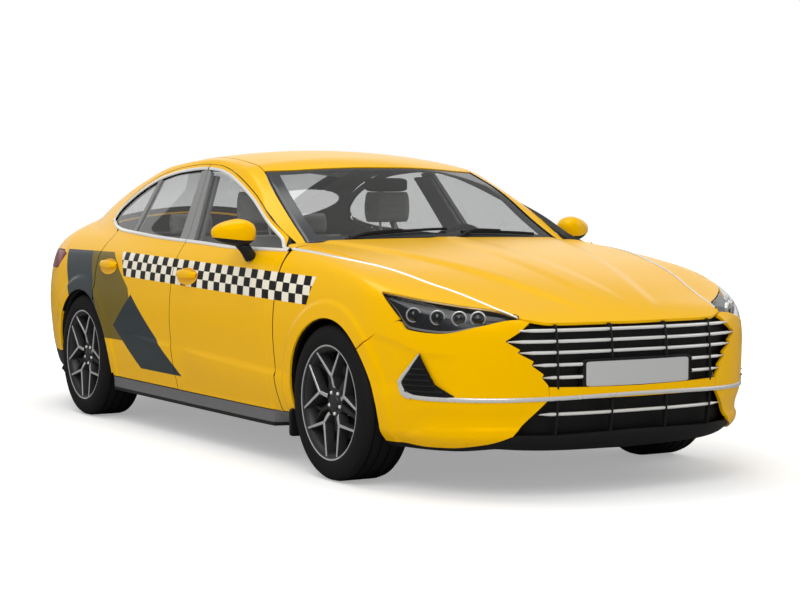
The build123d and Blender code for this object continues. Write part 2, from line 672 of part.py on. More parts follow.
# Rear axle: beam, trailing arms, springs and wheel spindles
with BuildPart() as rear_axle:
    add(block(-1400, -1320, -HUB_FACE + CLEAR, 0, 300, 368))
    add(block(-1320, STEP_X - PLATE, -560, -500, 310, 350))
    with Locations((REAR_AXLE_X, -530, (368 + BOOT_LOW) / 2)):
        Cylinder(45, BOOT_LOW - 368)
    with BuildSketch(Plane.XZ.offset(HUB_FACE - CLEAR)):
        with Locations((REAR_AXLE_X, TYRE_RADIUS)):
            Circle(SPINDLE_RADIUS)
    extrude(amount=SPINDLE_END - HUB_FACE + CLEAR)
    mirror(about=Plane.XZ)
rear_axle.part.label = "rear_axle"
export_step(rear_axle.part, "parts/rear_axle.step")

# Exhaust pipe and silencer under the floor
with BuildPart() as exhaust:
    with BuildSketch(Plane.YZ.offset(-1860)):
        with Locations((0, 188)):
            Circle(30)
    extrude(amount=3180)
    add(block(-2200, -1860, -330, 330, 176, BOOT_LOW))
    add(block(300, 360, -40, 40, 190, FLOOR_LOW))
    add(block(-700, -640, -40, 40, 190, FLOOR_LOW))
exhaust.part.label = "exhaust"
export_step(exhaust.part, "parts/exhaust.step")

# Engine and gearbox as one block on the cross-member
with BuildPart() as engine_block:
    add(block(1200, 1900, -380, 380, RAIL_LOW, 740))
    fillet(engine_block.edges().filter_by(Axis.Z), 60)
engine_block.part.label = "engine_block"
export_step(engine_block.part, "parts/engine_block.step")

# Dashboard with the bore for the steering column
WHEEL_CENTRE = (440, 370, 890)
COLUMN_TILT = 25
DASH_REAR_X = 560
column_plane = Plane(origin=WHEEL_CENTRE, x_dir=(0, 1, 0), z_dir=Vector(1, 0, 0).rotate(Axis.Y, COLUMN_TILT))
with BuildPart() as dashboard:
    with BuildSketch(Plane.XZ.offset(-690)):
        with BuildLine():
            Polyline((DASH_REAR_X, 640), (DASH_REAR_X - 20, 880), (640, 930), (FIREWALL_X, 930), (FIREWALL_X, 560),
                     (700, 560), close=True)
        make_face()
    extrude(amount=1380)
    with BuildSketch(column_plane):
        Circle(COLUMN_RADIUS + RUNNING)
    extrude(amount=260, mode=Mode.SUBTRACT)
dashboard.part.label = "dashboard"
export_step(dashboard.part, "parts/dashboard.step")

# Steering wheel with its column
STEERING_RADIUS = 182
with BuildPart() as steering_wheel:
    with BuildSketch(Plane(origin=WHEEL_CENTRE, x_dir=column_plane.z_dir, z_dir=column_plane.x_dir)):
        with Locations((0, STEERING_RADIUS)):
            Circle(15)
    revolve(axis=Axis(WHEEL_CENTRE, column_plane.z_dir))
    with BuildSketch(column_plane.offset(-20)):
        Circle(70)
        Rectangle(2 * STEERING_RADIUS, 40)
    extrude(amount=34)
    with BuildSketch(column_plane):
        Circle(COLUMN_RADIUS)
    extrude(amount=220)
steering_wheel.part.label = "steering_wheel"
export_step(steering_wheel.part, "parts/steering_wheel.step")

# Front seats, right and left
FRONT_SEAT = ((-60, 250), (330, 250), (330, 330), (425, 340), (430, 440), (380, 478), (-20, 440), (-165, 1015),
              (-225, 1050), (-220, 1080), (-195, 1230), (-250, 1245), (-300, 1220), (-300, 1080), (-270, 1045),
              (-290, 1000), (-150, 340), (-60, 330))
SEAT_IN = 130
SEAT_OUT = 620
with BuildPart() as front_seats:
    add(side_prism(FRONT_SEAT, inner=SEAT_IN, outer=SEAT_OUT))
    mirror(about=Plane.XZ)
front_seats.part.label = "front_seats"
export_step(front_seats.part, "parts/front_seats.step")

# Rear bench
REAR_SEAT = ((-470, 250), (-465, 430), (-510, 470), (-890, 430), (-1070, 990), (-1100, 1110), (-1185, 1110),
             (-1190, 990), (-1040, 432), (-990, 432), (-990, 250))
with BuildPart() as rear_seat:
    add(side_prism(REAR_SEAT, inner=-615, outer=615))
rear_seat.part.label = "rear_seat"
export_step(rear_seat.part, "parts/rear_seat.step")

# Wheel sections, right side: distance out from the wheel's middle plane and radius
BEAD_OUT = RIM_WIDTH / 2 - 9
BARREL = 15
TYRE_HALF = ((BEAD_OUT, BEAD_RADIUS), (BEAD_OUT, FLANGE_RADIUS + 6), (TYRE_WIDTH / 2 - 7, FLANGE_RADIUS + 16),
             (TYRE_WIDTH / 2, FLANGE_RADIUS + 42), (TYRE_WIDTH / 2 - 4, TYRE_RADIUS - 18),
             (TYRE_WIDTH / 2 - 19, TYRE_RADIUS))
TYRE_SECTION = TYRE_HALF + tuple((-out, radius) for out, radius in reversed(TYRE_HALF))
RIM_HALF = ((BEAD_OUT, BEAD_RADIUS), (BEAD_OUT, FLANGE_RADIUS), (RIM_WIDTH / 2, FLANGE_RADIUS),
            (RIM_WIDTH / 2, BEAD_RADIUS), (BEAD_OUT, BEAD_RADIUS - BARREL))
RIM_SECTION = RIM_HALF + tuple((-out, radius) for out, radius in reversed(RIM_HALF))
SPOKE_FACE = 98
SPOKE = 30
HUB_RADIUS = 72
DISC_RADIUS = 160
SPOKE_END = 221
SPOKES = 5


# Plane of a wheel's middle, local x along the car, local y up, normal out to the right
def wheel_plane(axle_x, out):
    return Plane(origin=(axle_x, -HALF_TRACK - out, TYRE_RADIUS), x_dir=(1, 0, 0), z_dir=(0, -1, 0))


# Ring of a section about an axle
def wheel_ring(axle_x, section):
    with BuildPart() as ring:
        with BuildSketch(Plane.YZ.offset(axle_x)):
            with BuildLine():
                Polyline(*[(-HALF_TRACK - out, TYRE_RADIUS + radius) for out, radius in section], close=True)
            make_face()
        revolve(axis=Axis((axle_x, 0, TYRE_RADIUS), (0, 1, 0)))
    return ring.part


# Alloy rim with forked spokes, hub and brake disc
def rim(axle_x):
    with BuildPart() as piece:
        add(wheel_ring(axle_x, RIM_SECTION))
        with BuildSketch(wheel_plane(axle_x, SPOKE_FACE - SPOKE)):
            Circle(HUB_RADIUS)
            with PolarLocations(0, SPOKES, start_angle=90):
                with BuildLine():
                    Polyline((40, -22), (120, -15), (224, -78), (228, -52), (140, 0), (228, 52), (224, 78),
                             (120, 15), (40, 22), close=True)
                make_face()
            Circle(SPOKE_END, mode=Mode.INTERSECT)
        extrude(amount=SPOKE)
        with BuildSketch(wheel_plane(axle_x, HUB_FACE - HALF_TRACK)):
            Circle(HUB_RADIUS)
        extrude(amount=SPOKE_FACE + HALF_TRACK - HUB_FACE)
        with BuildSketch(wheel_plane(axle_x, HUB_FACE - HALF_TRACK)):
            Circle(DISC_RADIUS)
        extrude(amount=26)
        with BuildSketch(wheel_plane(axle_x, HUB_FACE - HALF_TRACK)):
            Circle(SPINDLE_RADIUS + RUNNING)
        extrude(amount=SPINDLE_END - HUB_FACE + CLEAR, mode=Mode.SUBTRACT)
    return piece


# Tyre on its rim
def tyre(axle_x):
    with BuildPart() as piece:
        add(wheel_ring(axle_x, TYRE_SECTION))
    return piece


# Front wheels
rim_front_right = rim(FRONT_AXLE_X)
rim_front_right.part.label = "rim_front_right"
export_step(rim_front_right.part, "parts/rim_front_right.step")
tyre_front_right = tyre(FRONT_AXLE_X)
tyre_front_right.part.label = "tyre_front_right"
export_step(tyre_front_right.part, "parts/tyre_front_right.step")
rim_front_left = left_of(rim_front_right)
rim_front_left.part.label = "rim_front_left"
export_step(rim_front_left.part, "parts/rim_front_left.step")
tyre_front_left = left_of(tyre_front_right)
tyre_front_left.part.label = "tyre_front_left"
export_step(tyre_front_left.part, "parts/tyre_front_left.step")

# Rear wheels
rim_rear_right = rim(REAR_AXLE_X)
rim_rear_right.part.label = "rim_rear_right"
export_step(rim_rear_right.part, "parts/rim_rear_right.step")
tyre_rear_right = tyre(REAR_AXLE_X)
tyre_rear_right.part.label = "tyre_rear_right"
export_step(tyre_rear_right.part, "parts/tyre_rear_right.step")
rim_rear_left = left_of(rim_rear_right)
rim_rear_left.part.label = "rim_rear_left"
export_step(rim_rear_left.part, "parts/rim_rear_left.step")
tyre_rear_left = left_of(tyre_rear_right)
tyre_rear_left.part.label = "tyre_rear_left"
export_step(tyre_rear_left.part, "parts/tyre_rear_left.step")
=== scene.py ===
from collections import namedtuple
from math import pi, radians

import bmesh
import bpy
import numpy as np
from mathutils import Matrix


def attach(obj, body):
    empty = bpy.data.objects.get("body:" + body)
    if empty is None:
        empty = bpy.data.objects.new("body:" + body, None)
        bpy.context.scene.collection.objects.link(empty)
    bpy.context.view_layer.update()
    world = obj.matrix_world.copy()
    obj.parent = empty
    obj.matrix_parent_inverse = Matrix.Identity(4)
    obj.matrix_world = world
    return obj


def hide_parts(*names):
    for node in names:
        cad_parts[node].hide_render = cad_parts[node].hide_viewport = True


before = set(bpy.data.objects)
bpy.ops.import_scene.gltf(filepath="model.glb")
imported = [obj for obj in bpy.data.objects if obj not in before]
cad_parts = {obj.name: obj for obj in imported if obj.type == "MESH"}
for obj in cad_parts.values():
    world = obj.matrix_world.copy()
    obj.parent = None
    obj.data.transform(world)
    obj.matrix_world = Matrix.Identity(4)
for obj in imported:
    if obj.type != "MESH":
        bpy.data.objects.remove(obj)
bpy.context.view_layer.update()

bl_info = {
    "name": "Yellow saloon taxi",
    "version": (1, 0, 0),
    "blender": (4, 5, 0),
    "location": "3D View > Sidebar > Saloon",
    "description": "Dresses the packed saloon with smooth panels, glass, lamps, wheels and a studio",
    "category": "Object",
}

MM = 0.001

# Wheels and axles, mm
FRONT_AXLE_X = 1480.0
REAR_AXLE_X = -1360.0
AXLE_Z = 334.0
HALF_TRACK = 802.0
ARCH_RADIUS = 360.0
LINER_RADIUS = 353.0
LINER_BACK = 520.0
LINER_FLARE = 40.0

# Heights of the lower body: level, half width, nose reach and tail reach, mm
LEVEL_Z = (170, 260, 430, 620, 780, 880, 955, 1010, 1200)
LEVEL_W = (800, 880, 915, 930, 918, 893, 850, 790, 350)
LEVEL_NOSE = (2330, 2430, 2443, 2436, 2392, 2300, 2200, 2100, 1900)
LEVEL_TAIL = (2330, 2405, 2450, 2449, 2440, 2425, 2400, 2380, 2300)
CORNER_X = 1690.0
SIDE_BOW = 0.010
SCREEN_FOOT_X = 905.0
CABIN_LIMIT_Y = 905.0

# Swell round the arches, and the ledge under the low crease of the doors, mm
ARCH_SWELL = 8.0
ARCH_SWELL_REACH = 84.0
ARCH_SWELL_FADE = 26.0
CREASE_Z = 462.0
CREASE_FALL = 0.041
LEDGE = 12.0

# Centre line of the hood, with its fall to the sides, mm
HOOD_X = (900, 1100, 1500, 1900, 2250, 2420, 2470)
HOOD_MID = (1018, 1000, 945, 868, 772, 704, 678)
HOOD_FALL = (14.0, 44.0)
HOOD_FALL_X = (1600.0, 2200.0)

# Stations of the cabin and deck: place, centre height, corner and belt, mm
STATION_X = (-2440, -2100, -1850, -1500, -1096, -787, -323, 134, 360, 700, 905)
STATION_TOP = (1005, 1058, 1135, 1262, 1365, 1418, 1444, 1408, 1358, 1145, 1018)
CORNER_Y = (590, 622, 638, 648, 640, 632, 630, 652, 690, 785, 800)
CORNER_Z = (892, 952, 1042, 1178, 1300, 1366, 1394, 1346, 1256, 1062, 965)
BELT_Y = (700, 780, 840, 875, 888, 890, 890, 890, 890, 890, 890)
BELT_Z = 860.0
LOWEST_CANOPY_Z = 880.0

# Middles from which curved surfaces are cast outward, mm
NOSE_CORE = np.array((1500.0, 0.0, 480.0))
TAIL_CORE = np.array((-1500.0, 0.0, 560.0))
FLANK_Y = 330.0
FLANK_Z = 620.0
CAR_MIDDLE = np.array((0.0, 0.0, 600.0))
HALVINGS = 26

Grid = namedtuple("Grid", "points material closed flip")


def spline(x, xs, ys):
    """Smooth curve through a table that never overshoots it: cubic pieces whose end slopes are harmonic
    means."""
    xs, ys = np.asarray(xs, float), np.asarray(ys, float)
    x = np.clip(x, xs[0], xs[-1])
    rise = np.diff(ys) / np.diff(xs)
    inner = np.where(
        rise[:-1] * rise[1:] > 0, 2 * rise[:-1] * rise[1:] / (rise[:-1] + rise[1:] + 1e-12), 0.0
    )
    slope = np.concatenate([[rise[0]], inner, [rise[-1]]])
    i = np.clip(np.searchsorted(xs, x) - 1, 0, len(xs) - 2)
    h = xs[i + 1] - xs[i]
    t = (x - xs[i]) / h
    start = ys[i] * (2 * t**3 - 3 * t**2 + 1) + slope[i] * h * (t**3 - 2 * t**2 + t)
    return start + ys[i + 1] * (3 * t**2 - 2 * t**3) + slope[i + 1] * h * (t**3 - t**2)


def soft_max(a, b, width):
    """The larger of two values, rounded over where they are equal: half of the sum plus a root of the
    difference."""
    return 0.5 * (a + b + np.sqrt((a - b) ** 2 + width**2))


def smooth_step(t):
    """Rises from 0 to 1 as t does, with level ends."""
    t = np.clip(t, 0, 1)
    return t * t * (3 - 2 * t)


# The shape of the car


def half_width(x, z):
    """Half width at a height, drawn in slightly away from the middle."""
    return spline(z, LEVEL_Z, LEVEL_W) * (1 - SIDE_BOW * (x / CORNER_X) ** 2)


def flank_relief(x, z):
    """Swell round the wheel arches and the ledge under the low crease of the doors, in mm outward."""
    arches = 0.0
    for axle_x in (FRONT_AXLE_X, REAR_AXLE_X):
        away = np.hypot(x - axle_x, z - AXLE_Z) - ARCH_RADIUS
        arches = arches + ARCH_SWELL * smooth_step((ARCH_SWELL_REACH - away) / ARCH_SWELL_FADE)
    crease = CREASE_Z - CREASE_FALL * x
    step = smooth_step((crease + 14 - z) / 28)
    fade = np.exp(-np.clip((crease - z) / 105 - 0.3, 0, None) ** 2)
    window = smooth_step((x + 1000) / 900) * smooth_step((1130 - x) / 130)
    dip = 1 - 0.75 * np.exp(-(((x + 60) / 170) ** 2))
    return arches + LEDGE * step * fade * window * dip


def end_taper(x, z):
    """How the ends are drawn round: the cube root of one less the square of the way from corner to tip."""
    ahead = (x - CORNER_X) / (spline(z, LEVEL_Z, LEVEL_NOSE) - CORNER_X)
    behind = (-x - CORNER_X) / (spline(z, LEVEL_Z, LEVEL_TAIL) - CORNER_X)
    return np.cbrt(1 - np.clip(np.maximum(ahead, behind), 0, 1) ** 2)


def lower_y(x, z):
    """Half width of the lower body, with swells and hollows, drawn round at both ends."""
    return (half_width(x, z) + flank_relief(x, z)) * end_taper(x, z)


def canopy_y(x, z):
    """Half width of the cabin: a straight lean from the belt to the corner of the station."""
    by, cy, cz = (spline(x, STATION_X, column) for column in (BELT_Y, CORNER_Y, CORNER_Z))
    return by - (by - cy) * (np.maximum(z, LOWEST_CANOPY_Z) - BELT_Z) / (cz - BELT_Z)


def canopy_z(x, y):
    """Height of the cabin's top: a parabola from the centre height through the corner of the station."""
    middle, cy, cz = (spline(x, STATION_X, column) for column in (STATION_TOP, CORNER_Y, CORNER_Z))
    return middle - (middle - cz) * (y / cy) ** 2


def hood_z(x, y):
    """Height of the hood: the centre line less a parabola across, with two soft creases that meet the
    grille."""
    crease = 630 - 0.323 * (x - 950)
    fold = 5 * np.tanh((crease - np.abs(y)) / 14) + 2 * np.tanh((70 - np.abs(y)) / 12)
    start, stop = HOOD_FALL_X
    fall = HOOD_FALL[0] + (HOOD_FALL[1] - HOOD_FALL[0]) * smooth_step((x - start) / (stop - start))
    return spline(x, HOOD_X, HOOD_MID) - fall * (y / 800) ** 2 + fold * smooth_step((2400 - x) / 300) - 2


def body_y(x, z):
    """Half width of the whole side, with the belt rounded."""
    taper = end_taper(x, z)
    cabin = np.where(x < SCREEN_FOOT_X, np.minimum(canopy_y(x, z), CABIN_LIMIT_Y * taper), 0.0)
    return soft_max(lower_y(x, z), cabin, 14 * taper)


def top_z(x, y):
    """Height of the hood ahead of the windscreen and of the cabin behind it."""
    return np.where(x > SCREEN_FOOT_X, hood_z(x, y), canopy_z(x, y))


def outside(p):
    """Signed value that is negative inside the car: the worse of how far out and how far up a point is."""
    x, y, z = np.moveaxis(p, -1, 0)
    y = np.abs(y)
    return soft_max(y - body_y(x, z), z - top_z(x, y), 16 + 24 * smooth_step((x - 900) / 150))


def cast(start, way, reach=1600.0):
    """Where rays leave the car's surface, by halving the length of each ray again and again."""
    low = np.zeros(way.shape[:-1])
    high = np.full(way.shape[:-1], reach)
    for _ in range(HALVINGS):
        middle = 0.5 * (low + high)
        inside = outside(start + way * middle[..., None]) < 0
        low = np.where(inside, middle, low)
        high = np.where(inside, high, middle)
    return start + way * low[..., None]


def side(domain):
    """Right side from (x, z): y is the half width there."""
    x, z = np.moveaxis(domain, -1, 0)
    return np.stack([x, -body_y(x, z), z], -1)


def top(domain):
    """Top of the car from (x, y)."""
    x, y = np.moveaxis(domain, -1, 0)
    return np.stack([x, y, top_z(x, y)], -1)


def flank(domain):
    """Right side and shoulder from (x, angle) about a line inside the flank."""
    x, angle = np.moveaxis(domain, -1, 0)
    start = np.stack([x, np.full_like(x, -FLANK_Y), np.full_like(x, FLANK_Z)], -1)
    way = np.stack([np.zeros_like(x), -np.cos(angle), np.sin(angle)], -1)
    return cast(start, way)


def flank_angle(points):
    """(x, angle) of points on the right side."""
    x, y, z = np.moveaxis(np.asarray(points, float), -1, 0)
    return np.stack([x, np.arctan2(z - FLANK_Z, -y - FLANK_Y)], -1)


def end(core):
    """A surface at the nose or tail from (turn, rise) angles about its core, and the angles of points on
    it."""
    sign = 1.0 if core[0] > 0 else -1.0

    def lift(domain):
        """Points where rays at the given angles leave the car."""
        turn, rise = np.moveaxis(domain, -1, 0)
        way = np.stack([sign * np.cos(rise) * np.cos(turn), -np.cos(rise) * np.sin(turn), np.sin(rise)], -1)
        return cast(core, way)

    def angles(points):
        """Turn and rise of points, seen from the core."""
        x, y, z = np.moveaxis(np.asarray(points, float) - core, -1, 0)
        return np.stack([np.arctan2(-y, sign * x), np.arctan2(z, np.hypot(x, y))], -1)

    return lift, angles


nose, nose_angles = end(NOSE_CORE)
tail, tail_angles = end(TAIL_CORE)


# Patches and meshes


def along(points, count, smooth=True):
    """Points evenly spaced on a curve through a list, by the length of its chords."""
    points = np.asarray(points, float)
    step = np.linalg.norm(np.diff(points, axis=0), axis=1)
    points = points[np.concatenate([[True], step > 1e-6])]
    length = np.concatenate([[0], np.cumsum(step[step > 1e-6])])
    t = np.linspace(0, length[-1], count)
    through = spline if smooth and len(points) > 2 else np.interp
    return np.stack([through(t, length, column) for column in points.T], -1)


def patch(bottom, top_edge, left, right):
    """Surface inside four edges: the sum of the two ruled surfaces less the one through the corners."""
    u = np.linspace(0, 1, len(bottom))[:, None, None]
    v = np.linspace(0, 1, len(left))[None, :, None]
    ruled = (1 - v) * bottom[:, None] + v * top_edge[:, None] + (1 - u) * left[None] + u * right[None]
    low = (1 - u) * bottom[0] + u * bottom[-1]
    high = (1 - u) * top_edge[0] + u * top_edge[-1]
    return ruled - (1 - v) * low - v * high


def between(low, high, count, rows, smooth=True):
    """Ruled patch between two edges."""
    t = np.linspace(0, 1, rows)[None, :, None]
    return (1 - t) * along(low, count, smooth)[:, None] + t * along(high, count, smooth)[:, None]


def normals(points):
    """Unit normals of a grid: the cross product of its two gradients."""
    n = np.cross(np.gradient(points, axis=0), np.gradient(points, axis=1))
    return n / np.maximum(np.linalg.norm(n, axis=-1, keepdims=True), 1e-9)


def outward(points):
    """Unit normals turned away from the car's middle."""
    n = normals(points)
    facing = np.sum(n * (points - CAR_MIDDLE), -1, keepdims=True)
    return np.where(facing < 0, -n, n)


def sunk(points, depth):
    """A grid moved inward along its normals."""
    return points - outward(points) * depth


def quads(count, rows, closed):
    """Corner numbers of a grid's four-sided faces, joined round where it is closed."""
    index = np.arange(count * rows).reshape(count, rows)
    if closed[0]:
        index = np.concatenate([index, index[:1]], 0)
    if closed[1]:
        index = np.concatenate([index, index[:, :1]], 1)
    return np.stack([index[:-1, :-1], index[1:, :-1], index[1:, 1:], index[:-1, 1:]], -1).reshape(-1, 4)


def grid(points, material=0, closed=(False, False), facing=None):
    """A grid whose faces look away from the car's middle, or the way that is asked for."""
    points = np.asarray(points, float)
    n = normals(points)
    way = points - CAR_MIDDLE if facing is None else np.asarray(facing, float)
    return Grid(points, material, closed, bool(np.sum(n * way) < 0))


def tube(path, radius, sides=10, material=0):
    """A round bar along a path, its ring set square to the path."""
    path = np.asarray(path, float)
    ahead = np.gradient(path, axis=0)
    ahead /= np.linalg.norm(ahead, axis=1, keepdims=True)
    across = np.cross(ahead, np.array((0.31, 0.2, 0.93)))
    across /= np.linalg.norm(across, axis=1, keepdims=True)
    up = np.cross(across, ahead)
    turn = np.linspace(0, 2 * pi, sides, endpoint=False)
    ring = across[:, None] * np.cos(turn)[None, :, None] + up[:, None] * np.sin(turn)[None, :, None]
    points = path[:, None] + ring * np.broadcast_to(np.asarray(radius, float), len(path))[:, None, None]
    return Grid(points, material, (False, True), bool(np.sum(normals(points) * ring) < 0))


def strip(points, face, width, height, material=0):
    """A moulding along a path: a low crowned section laid on the surface, face being its normal there."""
    points, face = np.asarray(points, float), np.asarray(face, float)
    ahead = np.gradient(points, axis=0)
    across = np.cross(ahead, face)
    across /= np.linalg.norm(across, axis=1, keepdims=True)
    t = np.array((-0.5, -0.5, -0.3, 0.0, 0.3, 0.5, 0.5))
    rise = np.array((-0.4, 0.4, 0.85, 1.0, 0.85, 0.4, -0.4))
    width = np.broadcast_to(np.asarray(width, float), len(points))
    aside = across[:, None] * (t * width[:, None])[..., None]
    middle = aside + face[:, None] * (rise * height)[None, :, None]
    body = points[:, None] + middle
    return Grid(body, material, (False, False), bool(np.sum(normals(body) * middle) < 0))


def turned(profile, steps, centre, material=0):
    """A profile of (out, radius) turned about the wheel's axle, out being away from the car on the right
    side."""
    profile = np.asarray(profile, float)
    turn = np.linspace(0, 2 * pi, steps, endpoint=False)
    x = centre[0] + profile[None, :, 1] * np.cos(turn)[:, None]
    z = centre[2] + profile[None, :, 1] * np.sin(turn)[:, None]
    y = np.broadcast_to(centre[1] - profile[None, :, 0], x.shape)
    return Grid(np.stack([x, y, z], -1), material, (True, False), False)


def swell(centre, half, power=(0.6, 0.6), shape=(28, 14), material=0):
    """A rounded box: a superellipsoid with the given half sizes."""
    a = np.linspace(-pi, pi, shape[0], endpoint=False)[:, None]
    b = np.linspace(-pi / 2, pi / 2, shape[1])[None, :]

    def bent(value, p):
        """A power that keeps the sign."""
        return np.sign(value) * np.abs(value) ** p

    x = bent(np.cos(b), power[1]) * bent(np.cos(a), power[0])
    y = bent(np.cos(b), power[1]) * bent(np.sin(a), power[0])
    z = np.broadcast_to(bent(np.sin(b), power[1]), x.shape)
    points = np.stack([x, y, z], -1) * np.asarray(half, float) + np.asarray(centre, float)
    return Grid(points, material, (True, False), False)


def mirrored(grids):
    """The same grids on the left side."""
    return [Grid(g.points * (1, -1, 1), g.material, g.closed, not g.flip) for g in grids]


def round_edges(piece, width_mm):
    """Small round edges, by a bevel that leaves smooth bends alone."""
    edge = piece.modifiers.new("edge", "BEVEL")
    edge.width = width_mm * MM
    edge.segments = 2
    edge.limit_method = "ANGLE"
    edge.angle_limit = radians(50)
    return edge


def build(name, grids, materials, body, slot, nodes=(), thick=0.0, bevel=0.0, inner=0, rim=0, sharp=40.0):
    """One object from grids in mm: welded, shaded smooth, given thickness inward and small round edges,
    and riding on its CAD body."""
    points = np.concatenate([g.points.reshape(-1, 3) for g in grids]) * MM
    faces, material_index, start = [], [], 0
    for g in grids:
        f = quads(*g.points.shape[:2], g.closed)
        faces.append((f[:, ::-1] if g.flip else f) + start)
        material_index.append(np.full(len(f), g.material))
        start += g.points.shape[0] * g.points.shape[1]
    mesh = bpy.data.meshes.new(name)
    mesh.from_pydata(points, [], np.concatenate(faces))
    for m in materials:
        mesh.materials.append(finish_of(m))
    mesh.polygons.foreach_set("material_index", np.concatenate(material_index).astype(np.int32))
    mesh.polygons.foreach_set("use_smooth", np.ones(len(mesh.polygons), bool))
    bm = bmesh.new()
    bm.from_mesh(mesh)
    bmesh.ops.remove_doubles(bm, verts=bm.verts, dist=0.00002)
    bmesh.ops.dissolve_degenerate(bm, edges=bm.edges, dist=0.00001)
    bm.to_mesh(mesh)
    bm.free()
    mesh.set_sharp_from_angle(angle=radians(sharp))
    piece = bpy.data.objects.new(name, mesh)
    bpy.context.scene.collection.objects.link(piece)
    if thick:
        wall = piece.modifiers.new("wall", "SOLIDIFY")
        wall.thickness = thick * MM
        wall.offset = -1
        wall.use_even_offset = False
        wall.material_offset = inner
        wall.material_offset_rim = rim
    if bevel:
        round_edges(piece, bevel).harden_normals = True
    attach(piece, body)
    if nodes:
        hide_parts(*nodes)
    return piece


def pair(name, grids, materials, body, slot, nodes=(), **settings):
    """A right piece and its mirror image on the left; names that hold SIDE take the side's word."""
    made = []
    for word, shapes in (("right", grids), ("left", mirrored(grids))):
        nodes_here = [n.replace("SIDE", word) for n in nodes]
        body_here = body.replace("SIDE", word)
        made.append(build(f"{name}_{word}", shapes, materials, body_here, slot, nodes_here, **settings))
    return made


# Outlines that follow the photograph, mm

# Lower and upper edge of the side windows: x, z
WINDOW_LOW = ((-1268, -1179, -1041, -863, -432, 10, 473, 926), (1069, 1043, 1024, 1014, 993, 980, 966, 966))
WINDOW_HIGH = (
    (-1296, -1284, -1215, -1096, -946, -787, -559, -323, -160, -22, 134, 335, 543, 755, 922),
    (1080, 1118, 1168, 1223, 1271, 1307, 1334, 1344, 1337, 1316, 1275, 1207, 1128, 1039, 970),
)
FRAME_HEIGHT = 24.0
FRAME_TAPER = (860.0, 976.0)
SHUT = 3.0
PILLAR_FOOT = (-143.0, 984.0)
PILLAR_HEAD = (-266.0, 1366.0)
FRONT_PANE_REAR = ((-67, 985), (-221, 1328))
REAR_PANE_FRONT = ((-238, 987), (-336, 1334))
DOOR_LOW_Z = 248.0
DOOR_FRONT_X = 982.0
DOOR_ARCH_RADIUS = 385.0

# Inner edge of the rails beside roof and glass, and the edge of the deck: x, half width
TOP_EDGE = (
    (-2320, -1890, -1845, -1040, -323, 100, 240, 385, 504, 695, 870, 930, 985),
    (541, 545, 578, 540, 567, 580, 597, 635, 656, 677, 700, 724, 750),
)
HOOD_EDGE = (
    (925, -745), (1142, -745), (1436, -725), (1576, -700), (1721, -668),
    (1865, -633), (1971, -593), (2115, -550), (2224, -526), (2329, -500),
)
HOOD_STRIP = (
    (978, -838), (1142, -820), (1289, -800), (1436, -758), (1576, -715), (1721, -681),
    (1865, -646), (1971, -606), (2115, -563), (2224, -539), (2310, -513),
)
HOOD_FRONT = ((2329, -500), (2383, -400), (2406, -160), (2412, 0))
HOOD_REAR = ((925, -745), (955, -400), (965, 0))
SCREEN_LOW = ((870, -695), (895, -350), (905, 0))
SCREEN_HIGH = ((240, -593), (310, -430), (372, -165), (385, 0))
BACKLIGHT_HIGH = ((-1040, -535), (-1065, 0))
BACKLIGHT_LOW = ((-1850, -575), (-1850, 0))

# Edges of the rear quarter: its top as x, z and its edge along the rear door as (x, z) points
QUARTER_TOP = ((-2170, -2075, -1740, -1674, -1306), (914, 911, 906, 882, 1068))
QUARTER_DOOR_EDGE = (
    (-1169, 640), (-1171, 900), (-1126, 1012), (-1150, 1031), (-1179, 1040), (-1262, 1065), (-1306, 1068),
)

# Points on the nose: x, y, z
LAMP_TOP = ((1850, -872, 822), (2012, -805, 804), (2154, -681, 779), (2251, -560, 756), (2315, -519, 731))
LAMP_LOW = (
    (1850, -872, 822), (1946, -871, 750), (2020, -852, 681),
    (2155, -775, 669), (2267, -660, 701), (2315, -519, 731),
)
LAMP_LENSES = ((2035, -837, 734), (2130, -783, 727), (2201, -725, 725), (2253, -669, 726))
BUMPER_TOP = (
    (1742, -915, 584), (1984, -866, 709), (2020, -852, 676), (2155, -775, 664),
    (2267, -660, 696), (2330, -520, 722), (2350, -480, 712),
)
BUMPER_INNER = (
    (2350, -480, 712), (2354, -524, 676), (2331, -583, 637), (2360, -530, 603), (2357, -543, 592),
    (2384, -483, 558), (2383, -492, 541), (2400, -444, 505), (2399, -454, 492), (2407, -428, 462),
    (2410, -422, 408), (2353, -527, 291), (2336, -550, 258),
)
BUMPER_LOW = ((1815, -842, 205), (1888, -815, 203), (2112, -701, 208), (2250, -620, 228), (2336, -550, 258))
CORNER_VENT = (
    (2080, -827, 582), (1986, -859, 454), (2009, -845, 401),
    (2115, -797, 404), (2204, -735, 413), (2136, -787, 460),
)
VENT_LINE = ((2080, -827, 582), (2030, -846, 520), (1984, -860, 458), (1992, -853, 420), (2030, -838, 404))
CHEEK_LINE = ((1800, -915, 668), (1950, -880, 640), (2080, -822, 592), (2230, -700, 585))
WING_LINE = ((1904, -811, 222), (2071, -793, 283), (2220, -660, 287), (2369, -489, 292), (2401, -440, 376))
SILVER_LINE = (
    (1980, -864, 470), (2000, -850, 425), (2050, -828, 405), (2113, -796, 402), (2276, -665, 402),
    (2403, -442, 407), (2445, -205, 412), (2450, 0, 414),
)
GRILLE_REACH = ((447, 492, 541, 592, 637, 660, 693, 712), (428, 452, 489, 541, 583, 560, 515, 400))
INTAKE_REACH = ((222, 262, 290, 405), (530, 548, 530, 425))
SLAT_HEIGHTS = (491, 541, 590, 634, 677)
INTAKE_SLAT = 345
RIB_PLACES = (-385, -137, 137, 385)
PLATE_Z = 500.0
PLATE_HOLDER = (272.0, 60.0)
PLATE_HALF = (258.0, 50.0)
PLATE_BOW = 0.00026

# Edge of the boot lid on the right: y
LID_EDGE = -541.0


